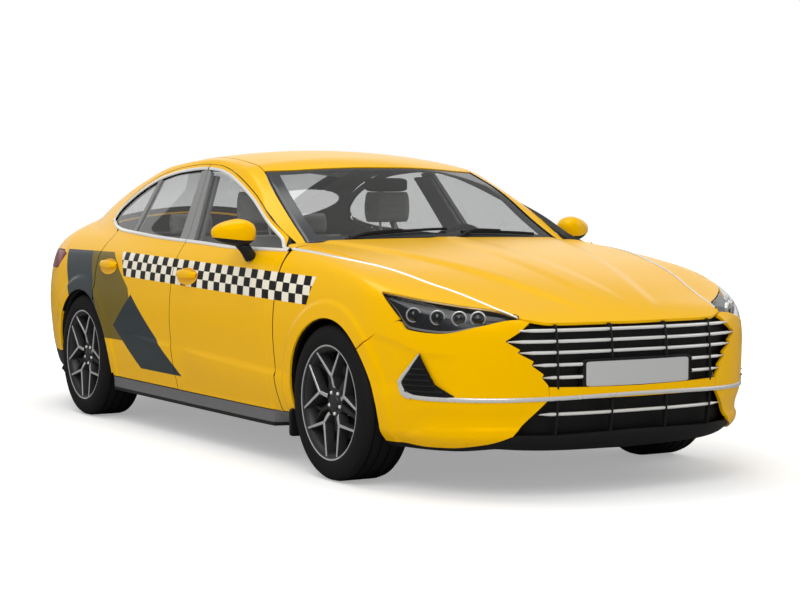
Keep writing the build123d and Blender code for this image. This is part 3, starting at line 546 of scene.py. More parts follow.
def window_low(x):
    """Lower edge of the side windows: a smooth curve through its table."""
    return spline(x, *WINDOW_LOW)


def window_high(x):
    """Upper edge of the side windows: a smooth curve through its table."""
    return spline(x, *WINDOW_HIGH)


def frame_top(x):
    """Upper edge of the door frame, which runs out to a point at the foot of the pillar."""
    return window_high(x) + FRAME_HEIGHT * np.interp(x, FRAME_TAPER, (1, 0))


def line(x, height):
    """An (x, z) edge at the heights of a function of x."""
    return np.stack([x, height(x) + 0 * x], -1)


def full(half):
    """A half outline in (x, y) and its mirror image, as one list that runs from right to left."""
    half = np.asarray(half, float)
    return np.concatenate([half, half[-2::-1] * (1, -1)])


def arc(axle_x, radius, first, last, count=12):
    """Points on a circle about an axle, by degrees from straight ahead."""
    turn = np.radians(np.linspace(first, last, count))
    return np.stack([axle_x + radius * np.cos(turn), AXLE_Z + radius * np.sin(turn)], -1)


def side_face(points):
    """Outward unit normals at (x, z) places of the right side, from small steps along and up."""
    step = np.array((2.0, 0.0)), np.array((0.0, 2.0))
    along_x = side(points + step[0]) - side(points - step[0])
    along_z = side(points + step[1]) - side(points - step[1])
    n = np.cross(along_x, along_z)
    return n / np.linalg.norm(n, axis=-1, keepdims=True)


def framed(points, edge, glass=0, band=1):
    """A pane whose outer rows are a dark printed band."""
    e, p = edge, points
    parts = [(p[e:-e, e:-e], glass), (p[: e + 1], band), (p[-e - 1 :], band)]
    parts += [(p[e:-e, : e + 1], band), (p[e:-e, -e - 1 :], band)]
    return [grid(part, material) for part, material in parts]


def make_hood(context):
    """Hood: the top surface over a patch between its rear, front and side edges; and the cowl grid, a
    ruled strip under its rear edge that dips by a sine."""
    rear, front = along(full(HOOD_REAR), 61), along(full(HOOD_FRONT), 61)
    right = along(HOOD_EDGE, 90)
    skin = top(patch(right, right * (1, -1), rear, front))
    build(
        "hood_skin", [grid(skin)], ["yellow_paint", "dark_steel"], "engine_hood", "body_paint", ["hood"],
        thick=14, bevel=3, inner=1,
    )
    front_edge = along(full(SCREEN_LOW), 61)
    cowl = between(front_edge + (4, 0), along(full(HOOD_REAR), 61) - (6, 0), 61, 6)
    x, y = np.moveaxis(cowl, -1, 0)
    points = np.stack([x, y, hood_z(x, y) - 14 - 10 * np.sin(pi * np.linspace(0, 1, 6))[None]], -1)
    build(
        "cowl_grid", [grid(points, facing=(0, 0, 1))], ["moulded_black"], "body", "black_plastic",
        ["cowl_panel"], thick=6, bevel=1,
    )


def make_roof(context):
    """Roof, windscreen and rear window: the top surface over patches between their edges, the panes sunk
    a little, and a ruled strip behind the rear window."""
    front, rear = along(full(SCREEN_HIGH), 61), along(full(BACKLIGHT_HIGH), 61)
    edge = np.linspace(SCREEN_HIGH[0][0] - 3, -1043, 70)
    right = np.stack([edge, -spline(edge, *TOP_EDGE) + 5], -1)
    right[0], right[-1] = front[0], rear[0]
    skin = top(patch(right, right * (1, -1), front - (3, 0), rear + (3, 0)))
    build(
        "roof_skin", [grid(skin)], ["yellow_paint", "headliner"], "body", "body_paint", ["roof_panel"],
        thick=24, bevel=2, inner=1,
    )
    beside = np.linspace(SCREEN_LOW[0][0], SCREEN_HIGH[0][0], 50)
    beside = np.stack([beside, -spline(beside, *TOP_EDGE) + 5], -1)
    pane = sunk(top(patch(along(full(SCREEN_LOW), 61), front, beside, beside * (1, -1))), 4)
    build(
        "windscreen_pane", framed(pane, 3), ["clear_glass", "printed_band"], "body", "window_glass",
        ["windscreen"], thick=5,
    )
    low = along(full(BACKLIGHT_LOW), 61)
    beside = along((BACKLIGHT_HIGH[0], BACKLIGHT_LOW[0]), 50)
    pane = sunk(top(patch(rear, low, beside, beside * (1, -1))), 4)
    build(
        "rear_window_pane", framed(pane, 3), ["clear_glass", "printed_band"], "body", "window_glass",
        ["rear_window"], thick=5,
    )
    deck_edge = np.stack([np.full(61, -1884.0), np.linspace(-540, 540, 61)], -1)
    deck = top(between(low - (4, 0), deck_edge, 61, 4))
    build("rear_deck", [grid(sunk(deck, 2))], ["moulded_black"], "body", "black_plastic", thick=8)


def make_rails(context):
    """Roof rails, quarters and sills: the flank between the doors' top and the roof's edge, the side over
    the patch round the rear wheel, and the side between two heights."""
    x = np.concatenate([np.linspace(-2315, -1310, 60), np.linspace(-1300, 982, 160)])
    low_z = np.where(x < -1305, np.interp(x, *QUARTER_TOP), frame_top(x) + 5)
    low = flank_angle(side(np.stack([x, low_z], -1)))
    edge = -spline(x, *TOP_EDGE)
    high = flank_angle(np.stack([x, edge, top_z(x, edge)], -1))
    t = np.linspace(0, 1, 22)[None, :, None]
    rail = flank((1 - t) * low[:, None] + t * high[:, None])
    front_edge = arc(REAR_AXLE_X, ARCH_RADIUS, 58, 148, 30)
    bumper_line = along(((-1683, 530), (-1725, 590), (-1790, 645), (-2075, 704)), 20)
    lower = np.concatenate([front_edge, bumper_line])
    shoulder = along(((-1306, 1068), (-1674, 882)), 60)
    door_edge = along(QUARTER_DOOR_EDGE, 40, smooth=False)
    lamp_edge = along(((-2075, 704), (-1766, 800), (-1674, 882)), 40, smooth=False)
    quarter = side(patch(along(lower, 60, smooth=False), shoulder, door_edge, lamp_edge))
    # The band round the front of the rear arch, under the rear door, is deep black: painted shade at the
    # arch's edge.
    foot_door = arc(REAR_AXLE_X, DOOR_ARCH_RADIUS + 4, -10, 56, 30)
    foot_arch = arc(REAR_AXLE_X, ARCH_RADIUS, -12, 58, 30)
    foot = side(between(foot_door, foot_arch, 30, 4))
    # The cut edges of the rails and quarters are deep black: painted shade in the gaps along them.
    pair(
        "body_quarter", [grid(rail), grid(quarter), grid(foot)],
        ["livery_paint", "grey_trim", "black_and_shade"], "body", "body_paint", ["body_side_SIDE"], thick=22,
        bevel=2, inner=1, rim=2,
    )
    sill_x = np.linspace(-990, 1112, 80)
    sill = side(np.stack(np.meshgrid(sill_x, np.linspace(172, 243, 9), indexing="ij"), -1))
    pair(
        "sill_skirt", [grid(sill[:, 2:], 0), grid(sill[:, :3], 1)], ["sill_grey", "moulded_black"], "body",
        "black_plastic", thick=30, bevel=3,
    )


def make_fenders(context):
    """Fenders: rays about the axle from the arch's edge out to the door, the hood and the lamp, and a
    brow over the lamp."""
    foot = along(((1110, 250), (1126, 272)), 4)[:-1]
    inner = flank_angle(side(np.concatenate([foot, arc(FRONT_AXLE_X, ARCH_RADIUS, 190, 44, 122)])))
    hood_side = along(HOOD_EDGE, 90) - (0, 6)
    hood_x = np.linspace(988, 1856, 60)
    hood_y = np.interp(hood_x, hood_side[:, 0], hood_side[:, 1])
    hood_line = flank_angle(np.stack([hood_x, hood_y, hood_z(hood_x, hood_y)], -1))
    door_line = np.concatenate([flank_angle(side(along(((988, 250), (988, 940)), 40))), hood_line[:1]])
    lamp_line = flank_angle(side(along(((1848, 826), (1942, 748), (1980, 716)), 16, smooth=False)))
    corner = along((hood_line[-1], lamp_line[0]), 8)
    outer = np.concatenate([along(door_line, 44, smooth=False), hood_line[1:-1], corner, lamp_line[1:]])
    t = np.linspace(0, 1, 60)[None, :, None]
    main = flank((1 - t) * inner[:, None] + t * outer[:, None])
    lamp = along(LAMP_TOP, 60)
    strip_x = np.linspace(1860, 2318, 60)
    strip_y = np.interp(strip_x, hood_side[:, 0], hood_side[:, 1])
    inner = np.stack([strip_x, strip_y, hood_z(strip_x, strip_y)], -1)
    t = np.linspace(0, 1, 8)[None, :, None]
    brow = nose((1 - t) * (nose_angles(lamp) + (0, 0.004))[:, None] + t * nose_angles(inner)[:, None])
    brow[0] = flank(corner)[::-1]
    pair(
        "fender_skin", [grid(main), grid(brow)], ["livery_paint", "dark_steel"], "body", "body_paint",
        ["fender_SIDE"], thick=10, bevel=2, inner=1,
    )


def make_doors(context):
    """Doors: the side over a patch from sill to belt and over the strip round the window, with posts,
    linings and panes that are the same surface sunk by a depth."""
    x = np.linspace(PILLAR_FOOT[0] + SHUT, DOOR_FRONT_X, 100)
    bottom, belt = line(x, lambda v: DOOR_LOW_Z), line(x, lambda v: window_low(v) - 4)
    domain = patch(bottom, belt, along((bottom[0], belt[0]), 84), along((bottom[-1], belt[-1]), 84))
    frame_x = np.linspace(PILLAR_HEAD[0] + SHUT, 974, 90)
    rim = between(line(frame_x, window_high), line(frame_x, frame_top), 90, 5)
    foot, head = (PILLAR_FOOT[0] + SHUT, PILLAR_FOOT[1]), (PILLAR_HEAD[0] + SHUT, PILLAR_HEAD[1] - 25)
    post = between(along(FRONT_PANE_REAR, 24), along((foot, head), 24), 24, 6)
    skins = [grid(side(domain)), grid(side(rim))]
    # The cut edges of the door skin are deep black: painted shade in the shut lines.
    pair(
        "front_door_skin", skins, ["livery_paint", "grey_trim", "black_and_shade"], "front_door_SIDE",
        "body_paint", ["door_front_SIDE"], thick=24, bevel=2, inner=1, rim=2,
    )
    pair(
        "front_door_post", [grid(side(post))], ["grey_trim"], "front_door_SIDE", "black_plastic", thick=20,
        bevel=1,
    )
    rear_edge = along((bottom[0] + (36, 40), belt[0] + (36, -6)), 84)
    front_edge = along((bottom[-1] + (-46, 40), belt[-1] + (-60, -6)), 84)
    lining = patch(bottom + (0, 40), belt - (0, 6), rear_edge, front_edge)
    lining = sunk(side(lining)[:, ::3], 26)
    pair(
        "front_door_lining", [grid(lining)], ["grey_trim"], "front_door_SIDE", "black_plastic", thick=52,
        bevel=8,
    )
    low_x, high_x = np.linspace(-67, 912, 80), np.linspace(-221, 912, 80)
    low, high = line(low_x, window_low), line(high_x, window_high)
    pane = sunk(side(patch(low, high, along(FRONT_PANE_REAR, 40), along((low[-1], high[-1]), 40))), 7)
    pair(
        "front_door_pane", [grid(pane)], ["side_glass"], "front_door_SIDE", "window_glass",
        ["glass_front_SIDE"], thick=4,
    )
    x = np.linspace(-1118, PILLAR_FOOT[0] - SHUT, 90)
    bottom = line(np.linspace(-985, PILLAR_FOOT[0] - SHUT, 90), lambda v: DOOR_LOW_Z)
    belt = line(x, lambda v: window_low(v) - 4)
    arch = arc(REAR_AXLE_X, DOOR_ARCH_RADIUS, 0, 59, 16)
    edge = np.concatenate([((-985, DOOR_LOW_Z),), arch, ((-1165, 900), tuple(belt[0]))])
    left, right = along(edge, 84, smooth=False), along((bottom[-1], belt[-1]), 84)
    frame_x = np.linspace(-1294, PILLAR_HEAD[0] - SHUT, 80)
    rim = between(line(frame_x, window_high), line(frame_x, frame_top), 80, 5)
    foot, head = (PILLAR_FOOT[0] - SHUT, PILLAR_FOOT[1]), (PILLAR_HEAD[0] - SHUT, PILLAR_HEAD[1] - 25)
    post = between(along(REAR_PANE_FRONT, 24), along((foot, head), 24), 24, 6)
    skins = [grid(side(patch(bottom, belt, left, right))), grid(side(rim))]
    # The cut edges of the door skin are deep black: painted shade in the shut lines.
    pair(
        "rear_door_skin", skins, ["livery_paint", "grey_trim", "black_and_shade"], "rear_door_SIDE",
        "body_paint", ["door_rear_SIDE"], thick=24, bevel=2, inner=1, rim=2,
    )
    bar = between(along(((-892, 1018), (-868, 1283)), 20), along(((-852, 1016), (-826, 1296)), 20), 20, 4)
    pair(
        "rear_door_post", [grid(side(post)), grid(side(bar))], ["grey_trim"], "rear_door_SIDE",
        "black_plastic", thick=20, bevel=1,
    )
    lining = patch(bottom + (0, 40), belt - (0, 6), left + (46, 20), right - (40, 0))
    lining = sunk(side(lining)[:, ::3], 26)
    pair(
        "rear_door_lining", [grid(lining)], ["grey_trim"], "rear_door_SIDE", "black_plastic", thick=52,
        bevel=8,
    )
    panes = []
    for low_ends, high_ends in (((-1262, -875), (-1280, -875)), ((-860, -238), (-860, -336))):
        low = line(np.linspace(*low_ends, 50), window_low)
        high = line(np.linspace(*high_ends, 50), window_high)
        pane = patch(low, high, along((low[0], high[0]), 30), along((low[-1], high[-1]), 30))
        panes.append(grid(sunk(side(pane), 7)))
    pair(
        "rear_door_pane", panes, ["side_glass"], "rear_door_SIDE", "window_glass", ["glass_rear_SIDE"],
        thick=4,
    )


def make_mouldings(context):
    """Bright strips round the side windows and along the hood."""

    def run(places, width, height=5.0):
        """A strip along places on the side."""
        return strip(side(places), side_face(places), width, height)

    front_low = line(np.linspace(PILLAR_FOOT[0] + SHUT, 974, 80), window_low)
    front_high = line(np.linspace(PILLAR_HEAD[0] + SHUT + 12, 974, 90), lambda v: window_high(v) + 3)
    rear_low = line(np.linspace(-1262, PILLAR_FOOT[0] - SHUT, 80), window_low)
    rear_high = line(np.linspace(-1294, PILLAR_HEAD[0] - SHUT + 4, 110), lambda v: window_high(v) + 3)
    rear_end = along(((-1262, 1071), (-1285, 1074), (-1294, 1084)), 12)
    pair(
        "front_window_bright", [run(front_low, 18), run(front_high, 16)], ["bright_metal"],
        "front_door_SIDE", "alloy", bevel=1,
    )
    pair(
        "rear_window_bright", [run(rear_low, 18), run(rear_high, 16), run(rear_end, 16)], ["bright_metal"],
        "rear_door_SIDE", "alloy", bevel=1,
    )
    path = along(HOOD_STRIP, 90)
    points = flank(flank_angle(np.stack([path[:, 0], path[:, 1], hood_z(path[:, 0], path[:, 1])], -1)))
    face = np.broadcast_to(np.array((0.0, -0.35, 0.94)), points.shape)
    pair(
        "hood_bright", [strip(points, face, np.linspace(20, 9, 90), 4.0)], ["bright_metal"], "body",
        "alloy", bevel=1,
    )


def make_mirrors(context):
    """Mirrors: a superellipsoid that narrows and leans back outward, its lower third black, on a round
    arm."""
    middle, half = np.array((645.0, -956.0, 1040.0)), np.array((74.0, 94.0, 60.0))
    head = swell(middle, half, (0.75, 0.8), (40, 24))
    x, y, z = np.moveaxis(head.points - middle, -1, 0)
    taper = 1 - 0.34 * np.clip(-y / half[1], -0.2, 1)
    head = head._replace(points=middle + np.stack([x * taper + 0.25 * y, y, z * taper], -1))
    rows = head.points.shape[1]
    cut = rows // 3
    cap = head._replace(points=head.points[:, cut:])
    low = head._replace(points=head.points[:, : cut + 1], material=1)
    pair(
        "mirror_head", [cap, low], ["yellow_paint", "moulded_black"], "front_door_SIDE", "body_paint",
        ["mirror_SIDE"],
    )
    arm = tube(
        along(((655, -930, 996), (676, -905, 962), (672, -878, 924)), 14), np.linspace(26, 30, 14), 14
    )
    pair("mirror_foot", [arm], ["moulded_black"], "front_door_SIDE", "black_plastic", bevel=1)


def make_handles(context):
    """Door handles: a shallow oval dish on the side and a crowned bar that bows out over it by a fourth
    power."""
    for door, place in (("front", (39, 816)), ("rear", (-985, 832))):
        turn = np.linspace(0, 2 * pi, 48, endpoint=False)[:, None]
        ring = np.linspace(1, 0.02, 8)[None, :]
        dish = np.stack([place[0] + 116 * ring * np.cos(turn), place[1] + 42 * ring * np.sin(turn)], -1)
        cup = side(dish) + side_face(dish) * (2 + 0 * ring[..., None])
        path = np.stack([np.linspace(place[0] - 112, place[0] + 112, 24), np.full(24, place[1] + 8.0)], -1)
        t = np.linspace(-1, 1, 24)
        bow = side(path) + side_face(path) * (2 + 20 * (1 - t**4))[:, None]
        grip = strip(bow, side_face(path), 42 - 20 * t**2, 9.0)
        pair(
            f"{door}_door_handle", [Grid(cup, 1, (True, False), False), grip],
            ["yellow_paint", "yellow_paint"], f"{door}_door_SIDE", "body_paint", bevel=1,
        )


def above(points, path):
    """Height of points over a line on the nose, taken at the same turn round the core, and the turn
    itself."""
    turn = nose_angles(points)[..., 0]
    path = np.asarray(path, float)
    order = np.argsort(nose_angles(path)[:, 0])
    return points[..., 2] - np.interp(turn, nose_angles(path)[order, 0], path[order, 2]), turn


def bumper_relief(points):
    """Swells and hollows of the bumper corner, in mm outward: a step under the cheek line and a wing at
    the foot."""
    over, turn = above(points, CHEEK_LINE)
    first, last = nose_angles(CHEEK_LINE[-1:])[0, 0], nose_angles(CHEEK_LINE[:1])[0, 0]
    fade = smooth_step((turn - first) / 0.12) * smooth_step((last - turn) / 0.1)
    fade = fade * smooth_step((points[..., 2] - 400) / 60)
    cheek = -8 * smooth_step(-over / 34) * fade
    over, turn = above(points, WING_LINE)
    first, last = nose_angles(WING_LINE[-1:])[0, 0], nose_angles(WING_LINE[:1])[0, 0]
    fade = smooth_step((turn - first) / 0.1) * smooth_step((last - turn) / 0.15)
    wing = (9 * smooth_step((8 - over) / 20) - 10 * np.exp(-(((over - 34) / 42) ** 2))) * fade
    return cheek + wing


def make_nose(context):
    """Front bumper: the nose over patches of turn and rise angles, pushed out by the relief; with the
    lip, the corner vents and the silver line, a strip carried along a path on the nose."""
    arch_edge = side(arc(FRONT_AXLE_X, ARCH_RADIUS, -21, 43, 90))
    outer = nose_angles(arch_edge)
    top_edge = along(nose_angles(np.concatenate([arch_edge[-1:], BUMPER_TOP[1:]])), 90)
    inner = along(nose_angles(BUMPER_INNER[::-1]), 90, smooth=False)
    low = along(nose_angles(np.concatenate([arch_edge[:1], BUMPER_LOW[1:]])), 90)
    corner = nose(patch(low, top_edge, outer, inner))
    corner = corner + outward(corner) * bumper_relief(corner)[..., None]
    bar_low = nose_angles(((2410, -422, 408), (2444, -204, 403), (2450, 0, 402)))
    bar_high = nose_angles(((2409, -424, 454), (2442, -200, 449), (2446, 0, 447)))
    bar = nose(between(bar_low, bar_high, 40, 8))
    lip_low = nose_angles(((2270, -590, 190), (2330, -400, 186), (2345, 0, 184)))
    lip_high = nose_angles(((2336, -550, 258), (2400, -330, 262), (2436, 0, 266)))
    lip = nose(between(lip_low, lip_high, 40, 10))
    side_low = nose_angles(((1820, -815, 178), (2112, -680, 180), (2270, -590, 190)))
    side_lip = nose(between(side_low, low, 40, 5))
    paint = [grid(corner), grid(bar)]
    build(
        "front_bumper_skin", paint + mirrored(paint), ["yellow_paint", "black_and_shade"], "body", "body_paint",
        ["front_bumper"], thick=14, bevel=2, inner=1,
    )
    dark = [grid(lip), grid(side_lip)]
    build("front_lip", dark + mirrored(dark), ["moulded_black"], "body", "black_plastic", thick=12, bevel=2)
    vent = along(np.concatenate([nose_angles(CORNER_VENT), nose_angles(CORNER_VENT[:1])]), 60, smooth=False)
    middle = vent[:-1].mean(0)
    ring = np.linspace(1, 0.02, 6)[None, :, None]
    plate = nose(middle + (vent[:, None] - middle) * ring)
    plate = plate + outward(plate) * 3
    louvres = []
    for height in (430, 452, 474, 496, 518):
        first = np.interp(height, (401, 454, 582), (2009, 1990, 2076))
        last = np.interp(height, (413, 460, 582), (2190, 2136, 2084))
        x = np.linspace(first + 8, last - 8, 12)
        places = np.stack([x, np.full(12, float(height))], -1)
        louvres.append(strip(side(places) + (0, -4, 0), side_face(places), 9, 6, 1))
    pair("corner_vent", [grid(plate)] + louvres, ["black_and_shade", "moulded_black"], "body", "black_plastic")
    path = nose(along(nose_angles(SILVER_LINE), 110))
    face = outward(np.stack([path, path + (0, 0, 6)], 1))[:, 0]
    frame_line = nose(along(nose_angles(VENT_LINE), 40))
    face_line = outward(np.stack([frame_line, frame_line + (0, 0, 6)], 1))[:, 0]
    bright = [
        strip(path, face, np.linspace(20, 15, 110), 6.0),
        strip(frame_line, face_line, np.linspace(6, 26, 40), 6.0),
    ]
    build("bumper_bright", bright + mirrored(bright), ["satin_silver"], "body", "alloy", bevel=1)


def end_reach(table, y, z):
    """Reach of an end at a place across and up: the root of one less the cube of the way across."""
    reach = spline(z, LEVEL_Z, table)
    across = np.abs(y) / half_width(CORNER_X, z)
    return CORNER_X + (reach - CORNER_X) * np.sqrt(np.clip(1 - across**3, 0, 1))


def nose_x(y, z):
    """Place of the nose ahead of the car's middle."""
    return end_reach(LEVEL_NOSE, y, z)


def tail_x(y, z):
    """Place of the tail behind the car's middle, so below 0."""
    return -end_reach(LEVEL_TAIL, y, z)


def make_grille(context):
    """Grille: a back sheet that follows the nose, slats and ribs as strips along level and upright paths,
    and the number plate, a superellipsoid bent by a parabola."""
    across = np.linspace(-1, 1, 61)[:, None]
    pieces = []
    for low, high, reach in ((447, 712, GRILLE_REACH), (222, 405, INTAKE_REACH)):
        z = np.linspace(low, high, 16)
        y = across * (np.interp(z, *reach) + 4)[None]
        sheet = np.stack([nose_x(y, z[None]) - 46, y, np.broadcast_to(z, y.shape)], -1)
        pieces.append(grid(sheet, 1))
    for z in SLAT_HEIGHTS + (INTAKE_SLAT,):
        reach = np.interp(z, *GRILLE_REACH) - 6 if z > INTAKE_SLAT else 455.0
        runs = ((-reach, reach),)
        if abs(z - PLATE_Z) < PLATE_HOLDER[1]:
            beside = PLATE_HOLDER[0] + 4
            runs = ((-reach, -beside), (beside, reach))
        for first, last in runs:
            y = np.linspace(first, last, 61)
            path = np.stack([nose_x(y, z + 0 * y) - 12, y, z + 0 * y], -1)
            thin = 1 - 0.75 * np.clip((np.abs(y) / reach - 0.9) / 0.1, 0, 1)
            face = np.broadcast_to(np.array((1.0, 0, 0.25)), path.shape)
            pieces.append(strip(path, face, 13 * thin, 10.0, 0))
    for place in RIB_PLACES:
        start = PLATE_Z + PLATE_HOLDER[1] + 3 if abs(place) < PLATE_HOLDER[0] else 446
        for low, high in ((start, 700), (262, 404)):
            z = np.linspace(low, high, 20)
            path = np.stack([nose_x(place + 0 * z, z) - 12, place + 0 * z, z], -1)
            face = np.broadcast_to(np.array((1.0, 0, 0)), path.shape)
            pieces.append(strip(path, face, 9.0, 16.0, 1))
    build("grille_slats", pieces, ["bright_metal", "black_and_shade"], "body", "black_plastic", ["grille"])
    plates = []
    for x, size, material in ((2428, (14, *PLATE_HOLDER), 0), (2440, (5, *PLATE_HALF), 1)):
        sheet = swell((x, 0, PLATE_Z), size, (0.1, 0.1), (40, 16), material)
        bent = np.zeros_like(sheet.points)
        bent[..., 0] = PLATE_BOW * sheet.points[..., 1] ** 2
        plates.append(sheet._replace(points=sheet.points - bent))
    build("number_plate", plates, ["moulded_black", "blank_plate"], "body", "black_plastic")


def make_headlamps(context):
    """Headlamps: the nose between the lamp's lower and upper edge as a clear cover, the same surface sunk
    as the housing, and four turned projectors."""
    low, high = along(nose_angles(LAMP_LOW), 70), along(nose_angles(LAMP_TOP), 70)
    t = np.linspace(0, 1, 16)[None, :, None]
    cover = nose((1 - t) * low[:, None] + t * high[:, None])[1:-1]
    pair("headlamp_cover", [grid(cover)], ["lamp_cover"], "body", "lamp_lens", thick=3)
    housing = sunk(cover, 26)
    pieces = [grid(housing[:, 9:], 4), grid(housing[:, 1:10], 0), grid(housing[:, :2], 1)]
    for place in LAMP_LENSES:
        centre = nose(nose_angles((place,)))[0] - np.array((18.0, -18.0, 0))
        turn = np.linspace(0, 2 * pi, 28, endpoint=False)
        toward = np.array((0.82, -0.57, 0.05))
        across = np.array((0.57, 0.82, 0.0))
        up = np.cross(toward, across)
        ring = across * np.cos(turn)[:, None] + up * np.sin(turn)[:, None]
        profile = np.array(((31, -8), (31, 4), (28, 8), (25, 4), (25, -2), (20, 5), (10, 11), (0.3, 13)))
        body = centre + ring[:, None] * profile[None, :, :1] + toward * profile[None, :, 1:]
        pieces.append(Grid(body[:, :5], 2, (True, False), False))
        pieces.append(Grid(body[:, 4:], 3, (True, False), False))
    pair(
        "headlamp_inside", pieces,
        ["lamp_housing", "lamp_grey", "bright_metal", "projector_glass", "lamp_brow"], "body", "lamp_lens",
        ["headlamps"],
    )


def make_tail(context):
    """Rear end: the boot lid's deck and face, hollowed by a bell curve, and the bumper, skirt, lamps and
    corners as the tail surface between edges in turn and rise angles."""
    y = np.linspace(-530, 530, 61)[:, None]
    lip_z = 972.0
    edge_x = tail_x(y, lip_z + 0 * y)
    t = np.linspace(0, 1, 40)[None]
    deck_x = -1895 + (edge_x + 1895) * t
    lip = 16 * smooth_step((t - 0.72) / 0.28)
    deck = np.stack([deck_x, y + 0 * t, canopy_z(deck_x, y) + lip - 2], -1)
    fall_z = deck[:, -1, 2][:, None] + (566 - deck[:, -1, 2][:, None]) * np.linspace(0.03, 1, 40)[None]
    hollow = 16 * np.exp(-(((fall_z - 800) / 90) ** 2)) + 14 * smooth_step((960 - fall_z) / 60)
    face = np.stack([tail_x(y, fall_z) + hollow, y + 0 * fall_z, fall_z], -1)
    lid = np.concatenate([deck, face], 1)
    build(
        "boot_lid_skin", [grid(lid)], ["yellow_paint", "dark_steel"], "luggage_lid", "body_paint",
        ["boot_lid"], thick=16, bevel=3, inner=1,
    )

    def across(height, first=LID_EDGE, last=0, count=24):
        """A level line on the tail between two places across."""
        places = np.linspace(first, last, count)
        return np.stack([tail_x(places, height + 0 * places), places, height + 0 * places], -1)

    def lengthwise(height, first, last, count=16):
        """A level line on the right side between two places along the car."""
        return side(np.stack([np.linspace(first, last, count), np.full(count, float(height))], -1))

    arch_side = side(along(((-1712, 560), (-1780, 640), (-2080, 700)), 16))
    corner_side = lengthwise(700, -2080, -2215, 12)
    to_lid = across(700, -700, LID_EDGE, 12)
    high = tail_angles(np.concatenate([arch_side, corner_side, to_lid]))
    seam = tail_angles(np.concatenate([lengthwise(330, -1720, -2150), across(330, -740, LID_EDGE, 12)]))
    left = tail_angles(side(arc(REAR_AXLE_X, ARCH_RADIUS, 180, 141, 30)))
    lid_y, lid_z = np.full(30, LID_EDGE), np.linspace(330, 700, 30)
    right = tail_angles(np.stack([tail_x(lid_y, lid_z), lid_y, lid_z], -1))
    high, seam = along(high, 60), along(seam, 60)
    high[0], seam[0] = left[-1], left[0]
    wing = tail(patch(seam, high, left, right))
    middle = tail(between(tail_angles(across(330)), tail_angles(across(557)), 30, 20))
    paint = [grid(wing), grid(middle)]
    build(
        "rear_bumper_skin", paint + mirrored(paint), ["yellow_paint", "black_and_shade"], "body", "body_paint",
        ["rear_bumper"], thick=14, bevel=2, inner=1,
    )
    foot = tail_angles(np.concatenate([lengthwise(190, -1690, -2130), across(190, -700)]))
    rim = tail_angles(np.concatenate([lengthwise(327, -1718, -2150), across(327, -740)]))
    skirt = [grid(tail(between(foot, rim, 70, 12)))]
    build(
        "rear_skirt", skirt + mirrored(skirt), ["moulded_black"], "body", "black_plastic", thick=14, bevel=2
    )
    low_side = side(along(((-1680, 874), (-1770, 806), (-2200, 792)), 14))
    high_side = side(along(((-1680, 878), (-1740, 901), (-2085, 906), (-2170, 908)), 14))
    lamp_low = np.concatenate([low_side, across(782, -690, LID_EDGE, 12)])
    lamp_high = np.concatenate([high_side, across(908, -640, LID_EDGE, 12)])
    lamp = tail(between(tail_angles(lamp_low), tail_angles(lamp_high), 44, 12))
    pair(
        "tail_lamp_lens", [grid(lamp)], ["red_plastic"], "body", "red_lens", ["tail_lamps"], thick=8,
        bevel=2,
    )
    panel_low = np.concatenate([corner_side + (0, 0, 4), to_lid + (0, 0, 4)])
    panel_side = side(along(((-1772, 801), (-2200, 788)), 10))
    panel_high = np.concatenate([panel_side, across(778, -690, LID_EDGE, 12)])
    panel = tail(between(tail_angles(panel_low), tail_angles(panel_high), 44, 10))
    pair("rear_corner_skin", [grid(panel)], ["yellow_paint"], "body", "body_paint", thick=12, bevel=2)


# Wheels

SPOKE_FACE = 98.0


def wheel_bar(path, width, high, low, centre, top_material, side_material):
    """A spoke: a bevelled bar along an (ahead, up) path in the wheel's plane, its face towards the
    outside."""
    path = np.asarray(path, float)
    ahead = np.gradient(path, axis=0)
    ahead /= np.linalg.norm(ahead, axis=1, keepdims=True)
    across = np.stack([-ahead[:, 1], ahead[:, 0]], -1)
    width = np.broadcast_to(np.asarray(width, float), len(path))[:, None]
    high = np.broadcast_to(np.asarray(high, float), len(path))[:, None]
    bands = []
    for steps, drops, material in (
        ((-0.8, -0.62, -0.5), (low, 6.0, 1.5), side_material),
        ((-0.5, -0.42, 0.42, 0.5), (1.5, 0.0, 0.0, 1.5), top_material),
        ((0.5, 0.62, 0.8), (1.5, 6.0, low), side_material),
    ):
        place = path[:, None] + across[:, None] * (np.array(steps) * width)[..., None]
        out = high - np.array(drops)[None]
        points = np.stack([centre[0] + place[..., 0], centre[1] - out, centre[2] + place[..., 1]], -1)
        bands.append(grid(points, material, facing=(0, -1, 0)))
    return bands


def polar(radius, degrees):
    """(ahead, up) from a radius and an angle."""
    turn = np.radians(np.asarray(degrees, float))
    return np.stack([np.asarray(radius) * np.cos(turn), np.asarray(radius) * np.sin(turn)], -1)


def tyre_profile():
    """Half section of the tyre and its mirror image: bead, bulged wall, shoulder, and a tread with four
    grooves."""
    wall = [(104, 230), (112, 246), (116, 262), (117, 282), (114, 304), (107, 320), (96, 329), (80, 333)]
    tread = []
    for groove in (68, 24):
        tread += [(groove + 7, 334), (groove + 5, 326), (groove - 5, 326), (groove - 7, 334)]
    half = wall + tread
    return np.array(half + [(-out, radius) for out, radius in half[::-1]], float)


